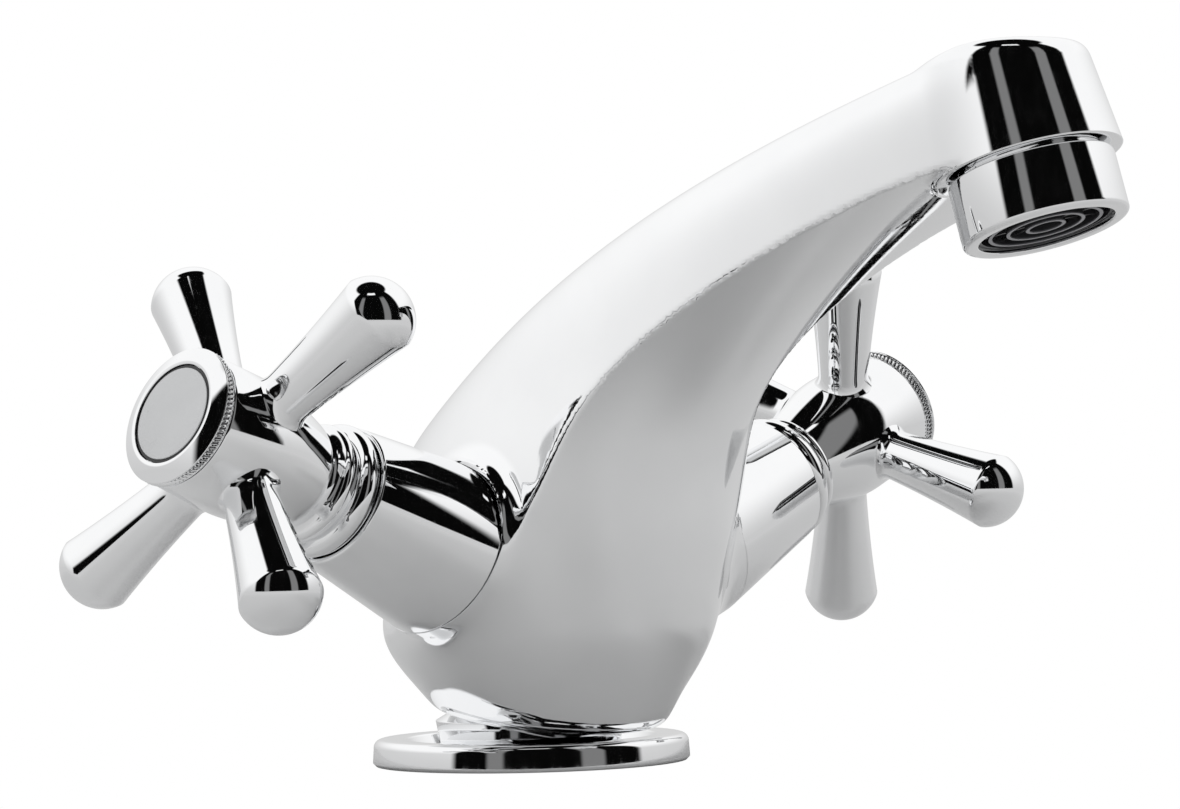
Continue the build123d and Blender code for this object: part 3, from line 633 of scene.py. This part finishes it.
def laid_normals(mesh, crisp_from=28, within=0.02, agreement=0.85):
    """Smooth shading straight from the surface wherever a face lies on it."""
    shaded(mesh, crisp_from)
    value, out = casting_field(read_points(mesh))
    out = unit(out)
    corner_points = np.empty(len(mesh.loops), dtype=np.int64)
    mesh.loops.foreach_get("vertex_index", corner_points)
    faces = np.empty(len(mesh.polygons) * 3)
    mesh.polygons.foreach_get("normal", faces)
    counts = np.empty(len(mesh.polygons), dtype=np.int64)
    mesh.polygons.foreach_get("loop_total", counts)
    face_out = np.repeat(faces.reshape(-1, 3), counts, axis=0)
    usual = np.empty(len(mesh.loops) * 3)
    mesh.corner_normals.foreach_get("vector", usual)
    usual = usual.reshape(-1, 3)
    on_surface = np.abs(value)[corner_points] < within
    agrees = (face_out * out[corner_points]).sum(1) > agreement
    chosen = np.where((on_surface & agrees)[:, None], out[corner_points], usual)
    mesh.normals_split_custom_set(chosen.tolist())
    return mesh


piece("body_casting_polished", laid_normals(casting), "mixer", "body_casting", chrome)


# Aerator.
# A turned and chromed brass shell screwed over the outlet nipple. It holds a rubber washer, a woven
# stainless screen and a dark plastic jet former with rings and ribs.
SHELL_CORNERS = ((10.9, 0.6, 0), (12.5, 0.6, 0.25), (12.5, 10.2, 0.75), (10.2, 10.2, 0.3),
                 (10.2, 9.3, 0.1), (10.9, 9.3, 0))
INSERT_RING_RADII = (2.73, 5.63, 8.33)
PLASTIC_DARK = (0.01, 0.01, 0.011, 1)
PLASTIC_PALE = (0.02, 0.02, 0.022, 1)
PLASTIC_EDGE = (0.14, 0.14, 0.15, 1)
PLASTIC_ROUGHNESS = (0.25, 0.45)
RING_EDGE = (0.4, 0.2)
RING_TOPS = (9.2, 9.45)
SCREEN_WIRE = (0.62, 0.61, 0.59, 1)
SCREEN_GAP = (0.08, 0.08, 0.08, 1)
WIRE_PITCH, WEAVE_EDGE = 0.7, 0.3
piece("aerator_shell_turned", shaded(turned(rounded(SHELL_CORNERS), outlet_place())), "mixer",
      "aerator_shell", chrome)
dressed("aerator_washer", rubber)


def fed(tree, made, values):
    """Fills a node's inputs in their order with numbers, vectors or output sockets."""
    for socket, value in zip(made.inputs, values):
        if isinstance(value, bpy.types.NodeSocket):
            tree.links.new(value, socket)
        else:
            socket.default_value = value
    return made


def math_node(tree, operation, *values):
    """Result of a Math node."""
    return fed(tree, node(tree, "ShaderNodeMath", operation=operation), values).outputs[0]


def vector_node(tree, operation, result, *values):
    """Named result of a Vector Math node."""
    return fed(tree, node(tree, "ShaderNodeVectorMath", operation=operation), values).outputs[result]


def step_up(tree, value, low, high):
    """0 below low, 1 above high, and smooth between."""
    made = node(tree, "ShaderNodeMapRange", interpolation_type="SMOOTHSTEP", Value=value, From_Min=low,
                From_Max=high)
    return made.outputs["Result"]


def outlet_effect():
    """Distances across, behind and down from the middle of the head's lower rim, in millimetres."""
    tree, _ = effect("outlet_axes")
    place = node(tree, "ShaderNodeTexCoord").outputs["Object"]
    results = {}
    for axis, label in enumerate(("Across", "Back", "Down")):
        direction = outlet_place().col[axis][:3]
        run = vector_node(tree, "DOT_PRODUCT", "Value", place, [value / MM for value in direction])
        start = sum(a * b for a, b in zip(direction, outlet_place().translation)) / MM
        results[label] = math_node(tree, "SUBTRACT", run, start)
    return put_out(tree, **results)


outlet_axes = outlet_effect()


def overlaid(made, mask, colour):
    """Lays a colour over a finished material where a mask is 1."""
    tree = made.node_tree
    base = tree.nodes["Principled BSDF"].inputs["Base Color"]
    tree.links.new(mixed(tree, mask, base.links[0].from_socket, colour), base)
    return made


def insert_finish():
    """Dark glossy plastic, paler at the front edges of its rings."""
    made = moulded_finish("dark_jet_plastic", PLASTIC_DARK, PLASTIC_PALE, PLASTIC_ROUGHNESS,
                          grain_height=0.000004)
    tree = made.node_tree
    run = node(tree, "ShaderNodeGroup", node_tree=outlet_axes).outputs
    off = math_node(tree, "SQRT", math_node(tree, "ADD", math_node(tree, "POWER", run["Across"], 2.0),
                                            math_node(tree, "POWER", run["Back"], 2.0)))
    mask = 0.0
    for radius in INSERT_RING_RADII:
        near = math_node(tree, "ABSOLUTE", math_node(tree, "SUBTRACT", off, radius))
        mask = math_node(tree, "MAXIMUM", mask, step_up(tree, near, *RING_EDGE))
    mask = math_node(tree, "MULTIPLY", mask, step_up(tree, run["Down"], *RING_TOPS))
    return overlaid(made, mask, PLASTIC_EDGE)


def screen_finish():
    """Woven stainless wire, as a fine square weave."""
    made, tree, shader = material("woven_screen")
    run = node(tree, "ShaderNodeGroup", node_tree=outlet_axes).outputs
    waves = [math_node(tree, "SINE", math_node(tree, "MULTIPLY", run[way], math.tau / WIRE_PITCH))
             for way in ("Across", "Back")]
    weave = step_up(tree, math_node(tree, "MULTIPLY", *waves), -WEAVE_EDGE, WEAVE_EDGE)
    filled(tree, shader, Base_Color=mixed(tree, weave, SCREEN_GAP, SCREEN_WIRE), Metallic=0.9, Roughness=0.35,
           Normal=bumped(tree, weave, strength=0.8, distance=0.0001))
    return made


dressed("aerator_screen", screen_finish())
dressed("aerator_insert", insert_finish())


# Headworks.
# Each valve is a turned brass bush screwed into its port against a rubber seal. Inside it a still and
# a turning ceramic disc meet, and a brass spindle with two rubber rings and a spring clip turns them.
BRASS_DARK = (0.55, 0.38, 0.16, 1)
BRASS_PALE = (0.72, 0.53, 0.26, 1)
STEEL_DARK = (0.42, 0.42, 0.43, 1)
STEEL_PALE = (0.6, 0.6, 0.6, 1)
CERAMIC_DARK = (0.74, 0.72, 0.68, 1)
CERAMIC_PALE = (0.84, 0.83, 0.8, 1)
BRASS_ROUGHNESS = (0.22, 0.42)
STEEL_ROUGHNESS = (0.28, 0.45)
CERAMIC_ROUGHNESS = (0.12, 0.3)


def valve_run(tree, place):
    """Distance along the valve axis of whichever side a place is on."""
    apart = node(tree, "ShaderNodeSeparateXYZ", Vector=place).outputs
    rise = math.radians(VALVE_RISE)
    side = math_node(tree, "MULTIPLY", math_node(tree, "ABSOLUTE", apart["X"]), math.cos(rise))
    return math_node(tree, "MULTIPLY_ADD", apart["Z"], math.sin(rise), side)


def lathe_effect():
    """Lathe marks: fine rings across a valve axis, on either side, with some lighter and darker."""
    tree, given = effect("lathe_marks", Ring_Scale=9000.0, Least_Roughness=0.2, Most_Roughness=0.4)
    place = node(tree, "ShaderNodeTexCoord").outputs["Object"]
    rings = node(tree, "ShaderNodeTexNoise", noise_dimensions="1D", W=valve_run(tree, place),
                 Scale=given["Ring Scale"], Detail=2.0)
    spread = node(tree, "ShaderNodeMapRange", Value=rings.outputs["Fac"], To_Min=given["Least Roughness"],
                  To_Max=given["Most Roughness"])
    shade = noise(tree, place, scale=180.0, detail=3.0)
    return put_out(tree, Shade=shade, Roughness=spread.outputs["Result"], Height=rings.outputs["Fac"])


lathe = lathe_effect()


def lathe_finish(name, dark, pale, roughness):
    """Bare turned metal between two shades."""
    made, tree, shader = material(name)
    least, most = roughness
    marks = node(tree, "ShaderNodeGroup", node_tree=lathe, Least_Roughness=least, Most_Roughness=most).outputs
    filled(tree, shader, Base_Color=mixed(tree, marks["Shade"], dark, pale), Roughness=marks["Roughness"],
           Normal=bumped(tree, marks["Height"], strength=0.5, distance=0.00002), Metallic=1.0)
    return made


brass = lathe_finish("turned_brass", BRASS_DARK, BRASS_PALE, BRASS_ROUGHNESS)
steel = lathe_finish("spring_steel", STEEL_DARK, STEEL_PALE, STEEL_ROUGHNESS)
ceramic = moulded_finish("fired_ceramic", CERAMIC_DARK, CERAMIC_PALE, CERAMIC_ROUGHNESS,
                         grain_height=0.000003, mottle_scale=300.0)
INNER_PIECES = {
    "bush": brass, "seat_seal": rubber, "fixed_disc": ceramic, "turning_disc": ceramic,
    "spindle": brass, "spindle_o_rings": rubber, "circlip": steel, "handle_screw": steel,
}
for tap in ("hot", "cold"):
    for part, finish in INNER_PIECES.items():
        dressed(f"{tap}_{part}", finish)


# Shrouds.
# A turned brass cone over each headwork, polished and chromed. It is clamped on the bush and stands
# against the port's face, so that a fine dark line shows between them.
SHROUD_CORNERS = ((12.9, 30.05, 0.1), (14.1, 30.05, 0.35), (11.2, 54.0, 0.45), (10.45, 54.0, 0.15),
                  (10.45, 47.0, 0), (8.3, 47.0, 0), (8.3, 44.0, 0), (11.2, 44.0, 0))
# The two sides: name, way out, angle of the first arm of the handle.
SIDES = (("hot", -1, 39.9), ("cold", 1, 20.5))
for tap, side, _ in SIDES:
    piece(f"{tap}_shroud_turned", shaded(turned(rounded(SHROUD_CORNERS), valve_place(side))), "mixer",
          f"{tap}_shroud", chrome)


# Cross handles.
# One chromed brass casting each: a skirt that turns in the shroud's mouth, a bead and a small ring,
# a swelling hub and four trumpet arms with domed ends. A screw through its web holds it.
ARMS_AT = 75.0
THROAT_END = 12.4
HUB_OUTLINE = (
    rounded(((8.7, 52.0, 0.1), (10.1, 52.0, 0.3), (10.1, 54.3, 0.1)))
    + bow((10.1, 54.3), (10.9, 55.8), (10.1, 57.3)) + [(8.9, 57.6)]
    + bow((8.9, 58.3), (9.6, 59.25), (8.9, 60.2)) + [(8.3, 60.5)]
    + bow((8.0, 60.8), (9.313, 65.119), (10.4, 69.5), 24)
    + bow((10.4, 69.5), (10.849, 72.233), (11.0, 75.0), 12)[1:]
    + [(10.75, 84.9), (10.6, 85.15), (8.5, 85.2), (8.4, 85.1), (8.4, 82.0), (6.4, 82.0), (6.4, 76.0)]
    + [(2.4, 76.0), (2.4, 71.5), (4.05, 71.5), (4.05, 55.5), (8.7, 55.5)]
)
ARM_OUTLINE = (
    [(0, 8.0), (4.9, 8.0)] + bow((5.0, 10.0), (4.5, 10.9), (4.3, 12.0), 10)
    + [point for point in bow((4.1, 9.0), (5.0, 20.5), (6.4, 32.0), 32) if point[1] > THROAT_END]
    + bow((6.4, 32.0), (4.03, 35.54), (0, 36.9), 20)[1:]
)


def cross_handle(side, first_arm):
    """Hub and four arms in one mesh."""
    place = valve_place(side)
    hub = turned(HUB_OUTLINE, place)
    arms = []
    for quarter in range(4):
        swing = Matrix.Rotation(math.radians(first_arm + 90 * quarter), 4, "Z")
        out = Matrix.Translation((0, 0, ARMS_AT * MM)) @ swing @ Matrix.Rotation(math.pi / 2, 4, "Y")
        arms.append(turned(ARM_OUTLINE, place @ out, around=96))
    return shaded(combined(hub, arms, "UNION"), sharp_from=30)


for tap, side, first_arm in SIDES:
    piece(f"{tap}_handle_cross", cross_handle(side, first_arm), f"{tap}_handle_set", f"{tap}_handle",
          chrome)


# Cap rings.
# A turned and chromed bezel screwed into each handle. Its rear edge is knurled for the fingers, with
# slanted teeth rolled into the band, and its front slopes in to the index disc.
CAP_CORNERS = ((6.4, 82.3, 0), (8.3, 82.3, 0.2), (8.3, 85.2, 0), (10.3, 85.2, 0.1), (10.75, 85.35, 0.1),
               (10.3, 85.6, 0.05), (10.3, 86.75, 0.05), (10.8, 86.9, 0.08), (11.0, 87.15, 0.15),
               (8.5, 88.25, 0.5), (7.95, 88.1, 0.1), (7.95, 86.6, 0), (6.4, 86.6, 0))
KNURL_TEETH, KNURL_AT, KNURL_R, KNURL_SLANT = 84, 86.18, 10.42, 28.0
TOOTH, TOOTH_SIDES, TOOTH_RINGS = (0.55, 0.29, 0.76), 8, 6
# A dark chrome ring under the knurl's teeth: painted shade for the gaps between the teeth.
KNURL_FLOOR = ((10.1, 85.55, 0), (10.42, 85.55, 0), (10.42, 86.8, 0), (10.1, 86.8, 0))
KNURL_SHADE_DARK = (0.05, 0.05, 0.052, 1)
KNURL_SHADE_PALE = (0.2, 0.2, 0.205, 1)
GROOVE_CLOUDS, GROOVE_RIPPLE = 400.0, 0.00002


def knurl_tree():
    """Slanted teeth set round a circle."""
    tree = bpy.data.node_groups.new("knurled_band", "GeometryNodeTree")
    for label, kind in (("Geometry", "Geometry"), ("Radius", "Float"), ("Teeth", "Int"), ("Slant", "Float"),
                        ("Tooth", "Vector"), ("Finish", "Material")):
        tree.interface.new_socket(label, in_out="INPUT", socket_type=f"NodeSocket{kind}")
    tree.interface.new_socket("Geometry", in_out="OUTPUT", socket_type="NodeSocketGeometry")
    given = tree.nodes.new("NodeGroupInput").outputs
    circle = node(tree, "GeometryNodeMeshCircle", Vertices=given["Teeth"], Radius=given["Radius"])
    tooth = node(tree, "GeometryNodeMeshUVSphere", Segments=TOOTH_SIDES, Rings=TOOTH_RINGS, Radius=MM)
    shape = node(tree, "GeometryNodeTransform", Geometry=tooth.outputs["Mesh"], Scale=given["Tooth"])
    slant = node(tree, "ShaderNodeCombineXYZ", X=given["Slant"])
    lean = node(tree, "GeometryNodeTransform", Geometry=shape.outputs["Geometry"],
                Rotation=slant.outputs["Vector"])
    position = node(tree, "GeometryNodeInputPosition")
    apart = node(tree, "ShaderNodeSeparateXYZ", Vector=position.outputs["Position"]).outputs
    facing = node(tree, "ShaderNodeCombineXYZ", Z=math_node(tree, "ARCTAN2", apart["Y"], apart["X"]))
    setting = node(tree, "GeometryNodeInstanceOnPoints", Points=circle.outputs["Mesh"],
                   Instance=lean.outputs["Geometry"], Rotation=facing.outputs["Vector"])
    real = node(tree, "GeometryNodeRealizeInstances", Geometry=setting.outputs["Instances"])
    coat = node(tree, "GeometryNodeSetMaterial", Geometry=real.outputs["Geometry"], Material=given["Finish"])
    node(tree, "NodeGroupOutput", Geometry=coat.outputs["Geometry"])
    return tree


def knurled_band(place, slant):
    """The teeth of one band, as a plain mesh in its place."""
    holder = carried("band", bpy.data.meshes.new("band"))
    step = holder.modifiers.new("knurl", "NODES")
    step.node_group = knurl
    values = {"Radius": KNURL_R * MM, "Teeth": KNURL_TEETH, "Slant": math.radians(slant), "Tooth": TOOTH,
              "Finish": chrome}
    for socket in knurl.interface.items_tree:
        if socket.in_out == "INPUT" and socket.name in values:
            step[socket.identifier] = values[socket.name]
    mesh = evaluated(holder)
    mesh.transform(place @ Matrix.Translation((0, 0, KNURL_AT * MM)))
    return mesh


knurl = knurl_tree()
# The groove ring's dark chrome is painted shade that darkens the gaps between the knurl's teeth.
groove = chrome_finish("painted_knurl_shade", GROOVE_CLOUDS, GROOVE_RIPPLE, KNURL_SHADE_DARK, KNURL_SHADE_PALE)
for tap, side, _ in SIDES:
    place = valve_place(side)
    for name, mesh, finish in (
        ("cap_knurl_shade", shaded(turned(rounded(KNURL_FLOOR), place)), groove),
        ("cap_bezel", shaded(turned(rounded(CAP_CORNERS), place)), chrome),
        ("cap_knurl", shaded(knurled_band(place, KNURL_SLANT), sharp_from=60), chrome),
    ):
        piece(f"{tap}_{name}", mesh, f"{tap}_handle_set", f"{tap}_cap_ring", finish)


# Index discs.
# A round plate of pale plastic with a soft front edge, snapped into each bezel. Its face is left
# plain, and the dark gap round it is painted shade on the step of the disc.
DISC_CORNERS = ((0, 86.6, 0), (7.85, 86.6, 0.1), (7.85, 87.85, 0.05), (7.42, 87.85, 0.05), (7.3, 88.12, 0.12),
                (6.2, 88.2, 0), (0, 88.2, 0))
DISC_FACE_R, FACE_EDGE = 7.36, 0.03
INDEX_DARK = (0.36, 0.365, 0.37, 1)
INDEX_PALE = (0.46, 0.465, 0.47, 1)
INDEX_ROUGHNESS = (0.22, 0.34)


def index_finish():
    """Pale plastic with painted shade on the step round its face, for the dark gap at the bezel."""
    made = moulded_finish("pale_index_plastic_with_painted_shade", INDEX_DARK, INDEX_PALE, INDEX_ROUGHNESS,
                          grain_height=0.000003, mottle_scale=60.0)
    tree = made.node_tree
    place = node(tree, "ShaderNodeTexCoord").outputs["Object"]
    place = vector_node(tree, "SUBTRACT", "Vector", place, (0, VALVE_Y * MM, VALVE_Z * MM))
    reach = vector_node(tree, "LENGTH", "Value", place)
    squares = math_node(tree, "SUBTRACT", math_node(tree, "POWER", reach, 2.0),
                        math_node(tree, "POWER", valve_run(tree, place), 2.0))
    # Painted shade: the disc is dark beyond the edge of its face, where the gap to the bezel lies.
    edge = step_up(tree, math_node(tree, "SQRT", squares), (DISC_FACE_R - FACE_EDGE) * MM,
                   (DISC_FACE_R + FACE_EDGE) * MM)
    return overlaid(made, edge, PLASTIC_DARK)


index_plastic = index_finish()
for tap, side, _ in SIDES:
    piece(f"{tap}_index_plate", shaded(turned(rounded(DISC_CORNERS), valve_place(side))), f"{tap}_handle_set",
          f"{tap}_index_disc", index_plastic)


# Studio.
# A floor that the camera sees as plain white, like the surround. The surround shows the polished
# metal a white tent, with a dark curtain round the camera and two strip lights standing in it.
# Two softboxes light the dull pieces.
FLOOR_REACH = 3.0
FLOOR_COLOUR = (0.86, 0.86, 0.86, 1)
FLOOR_MIRRORED = (0.42, 0.42, 0.42, 1)
FLOOR_FADES = (0.1, 0.45)
VIEW_DIRECTION = (-0.705, -0.709, 0.0)
SOFT_EDGE = 3.0
CURTAIN_SIDES, CURTAIN_TOP, CURTAIN_SHADE = (-58.0, 86.0), 80.0, 0.002
# Strip lights in the curtain: bearing of the middle, half width, brightness.
STRIPS = ((-26.0, 6.0, 0.2), (46.0, 9.0, 0.2))
STRIPS_TOP = 56.0
STRIP_EDGE, STRIPS_TOP_EDGE = 2, 4
# A slot of light high in the curtain: bearing and rise of its middle, each with a half width.
GLINT_BEARING, GLINT_RISE = (4.0, 22.0), (69.0, 3.0)
GLINT_SIDE_EDGE, GLINT_TOP_EDGE = 2, 1
WALL_SHADES, WALL_RISE = (0.62, 1.0), (-5.0, 32.0)
ROOF_RISE, ROOF_SHADE = (62.0, 66.0), 0.002
AMBIENT = 0.85
# Softboxes: name, place, width, power. All of them face a point over the deck.
SOFTBOXES = (
    ("key_softbox", (-0.75, -0.55, 1.15), 0.9, 9.0),
    ("rear_softbox", (0.55, 0.75, 1.05), 0.9, 5.0),
)
LIT_POINT = (0, 0, 0.05)


def seen_directly(tree):
    """1 for rays from the camera, and 1 for these and those that a shiny or clear surface sends out."""
    path = node(tree, "ShaderNodeLightPath").outputs
    shiny = math_node(tree, "MAXIMUM", path["Is Glossy Ray"], path["Is Transmission Ray"])
    return path["Is Camera Ray"], math_node(tree, "MAXIMUM", path["Is Camera Ray"], shiny)


def up_to(tree, value, limit, edge):
    """1 below a limit and 0 above it, with a soft edge."""
    return step_up(tree, value, limit + edge, limit - edge)


def away_from(tree, value, middle):
    """Distance of a value from a middle."""
    return math_node(tree, "ABSOLUTE", math_node(tree, "SUBTRACT", value, middle))


def faded(tree, share, first, second):
    """A number part of the way from the first to the second."""
    return math_node(tree, "MULTIPLY_ADD", share, math_node(tree, "SUBTRACT", second, first), first)


world = bpy.data.worlds.new("studio")
bpy.context.scene.world = world
world.use_nodes = True
sky = world.node_tree
direction = node(sky, "ShaderNodeTexCoord").outputs["Generated"]
sideways = vector_node(sky, "DOT_PRODUCT", "Value", direction, (-VIEW_DIRECTION[1], VIEW_DIRECTION[0], 0))
forward = vector_node(sky, "DOT_PRODUCT", "Value", direction, VIEW_DIRECTION)
height = node(sky, "ShaderNodeSeparateXYZ", Vector=direction).outputs["Z"]
bearing = math_node(sky, "MULTIPLY", math_node(sky, "ARCTAN2", sideways, forward), math.degrees(1))
rise = math_node(sky, "MULTIPLY", math_node(sky, "ARCSINE", height), math.degrees(1))
low_side = step_up(sky, bearing, CURTAIN_SIDES[0] - SOFT_EDGE, CURTAIN_SIDES[0] + SOFT_EDGE)
high_side = up_to(sky, bearing, CURTAIN_SIDES[1], SOFT_EDGE)
curtain = math_node(sky, "MULTIPLY", low_side, high_side)
curtain = math_node(sky, "MULTIPLY", curtain, up_to(sky, rise, CURTAIN_TOP, SOFT_EDGE))
low_shade, high_shade = WALL_SHADES
wall = math_node(sky, "MULTIPLY_ADD", step_up(sky, rise, *WALL_RISE), high_shade - low_shade, low_shade)
wall = faded(sky, step_up(sky, rise, *ROOF_RISE), wall, ROOF_SHADE)
shade = faded(sky, curtain, wall, CURTAIN_SHADE)
for middle, half, brightness in STRIPS:
    strip = up_to(sky, away_from(sky, bearing, middle), half, STRIP_EDGE)
    strip = math_node(sky, "MULTIPLY", strip, curtain)
    strip = math_node(sky, "MULTIPLY", strip, up_to(sky, rise, STRIPS_TOP, STRIPS_TOP_EDGE))
    shade = math_node(sky, "MULTIPLY_ADD", strip, brightness, shade)
beside = up_to(sky, away_from(sky, bearing, GLINT_BEARING[0]), GLINT_BEARING[1], GLINT_SIDE_EDGE)
above = up_to(sky, away_from(sky, rise, GLINT_RISE[0]), GLINT_RISE[1], GLINT_TOP_EDGE)
shade = math_node(sky, "MAXIMUM", shade, math_node(sky, "MULTIPLY", beside, above))
camera_only, direct = seen_directly(sky)
seen = faded(sky, camera_only, shade, 1.0)
filled(sky, sky.nodes["Background"], Color=(1, 1, 1, 1), Strength=faded(sky, direct, AMBIENT, seen))

floor_mesh = bpy.data.meshes.new("floor")
corners = [(x * FLOOR_REACH, y * FLOOR_REACH, 0) for x, y in ((-1, -1), (1, -1), (1, 1), (-1, 1))]
floor_mesh.from_pydata(corners, [], [(0, 1, 2, 3)])
floor = bpy.data.objects.new("floor", floor_mesh)
bpy.context.scene.collection.objects.link(floor)
floor_look, ground, floor_shader = material("pale_floor")
camera_only, direct = seen_directly(ground)
mirrored = math_node(ground, "SUBTRACT", direct, camera_only)
filled(ground, floor_shader, Base_Color=mixed(ground, mirrored, FLOOR_COLOUR, FLOOR_MIRRORED),
       Roughness=0.7, Specular_IOR_Level=0.1)
away = vector_node(ground, "LENGTH", "Value", node(ground, "ShaderNodeTexCoord").outputs["Object"])
fade = math_node(ground, "MULTIPLY", step_up(ground, away, *FLOOR_FADES), mirrored)
strength = math_node(ground, "MULTIPLY_ADD", mirrored, low_shade - 1.0, 1.0)
light = node(ground, "ShaderNodeEmission", Strength=strength)
blend = node(ground, "ShaderNodeMixShader", Fac=math_node(ground, "MAXIMUM", camera_only, fade))
ground.links.new(floor_shader.outputs["BSDF"], blend.inputs[1])
ground.links.new(light.outputs["Emission"], blend.inputs[2])
filled(ground, ground.nodes["Material Output"], Surface=blend.outputs["Shader"])
floor_mesh.materials.append(floor_look)

for name, place, size, power in SOFTBOXES:
    lamp = bpy.data.lights.new(name, "AREA")
    lamp.shape, lamp.size, lamp.energy = "DISK", size, power
    box = bpy.data.objects.new(name, lamp)
    box.location = place
    box.rotation_euler = (Vector(LIT_POINT) - Vector(place)).to_track_quat("-Z", "Y").to_euler()
    box.visible_glossy = False
    bpy.context.scene.collection.objects.link(box)


# Camera.
# Low in front of the hot side, with a long lens, as the object was photographed. Its place and turn
# are the ones at which the outlines of the real piece and of this one agree.
CAMERA_PLACE = (-0.4822, -0.4932, 0.048)
CAMERA_YAW = -0.790
CAMERA_PITCH = 0.015
CAMERA_ROLL = -0.024
LENS_PIXELS = 4200
PICTURE_WIDTH = 1180
SENSOR = 36.0
NEAR_CLIP, FAR_CLIP = 0.01, 20
ahead = Vector((-math.sin(CAMERA_YAW) * math.cos(CAMERA_PITCH), math.cos(CAMERA_YAW) * math.cos(CAMERA_PITCH),
                math.sin(CAMERA_PITCH)))
level = Vector((math.cos(CAMERA_YAW), math.sin(CAMERA_YAW), 0))
upright = level.cross(ahead)
right = level * math.cos(CAMERA_ROLL) + upright * math.sin(CAMERA_ROLL)
up = upright * math.cos(CAMERA_ROLL) - level * math.sin(CAMERA_ROLL)
lens = bpy.data.cameras.new("camera")
lens.sensor_width = SENSOR
lens.lens = LENS_PIXELS / PICTURE_WIDTH * SENSOR
lens.clip_start, lens.clip_end = NEAR_CLIP, FAR_CLIP
camera = bpy.data.objects.new("camera", lens)
bpy.context.scene.collection.objects.link(camera)
turn = Matrix((right, up, -ahead)).transposed().to_4x4()
camera.matrix_world = Matrix.Translation(CAMERA_PLACE) @ turn
bpy.context.scene.camera = camera
bpy.context.scene.view_settings.view_transform = "Standard"
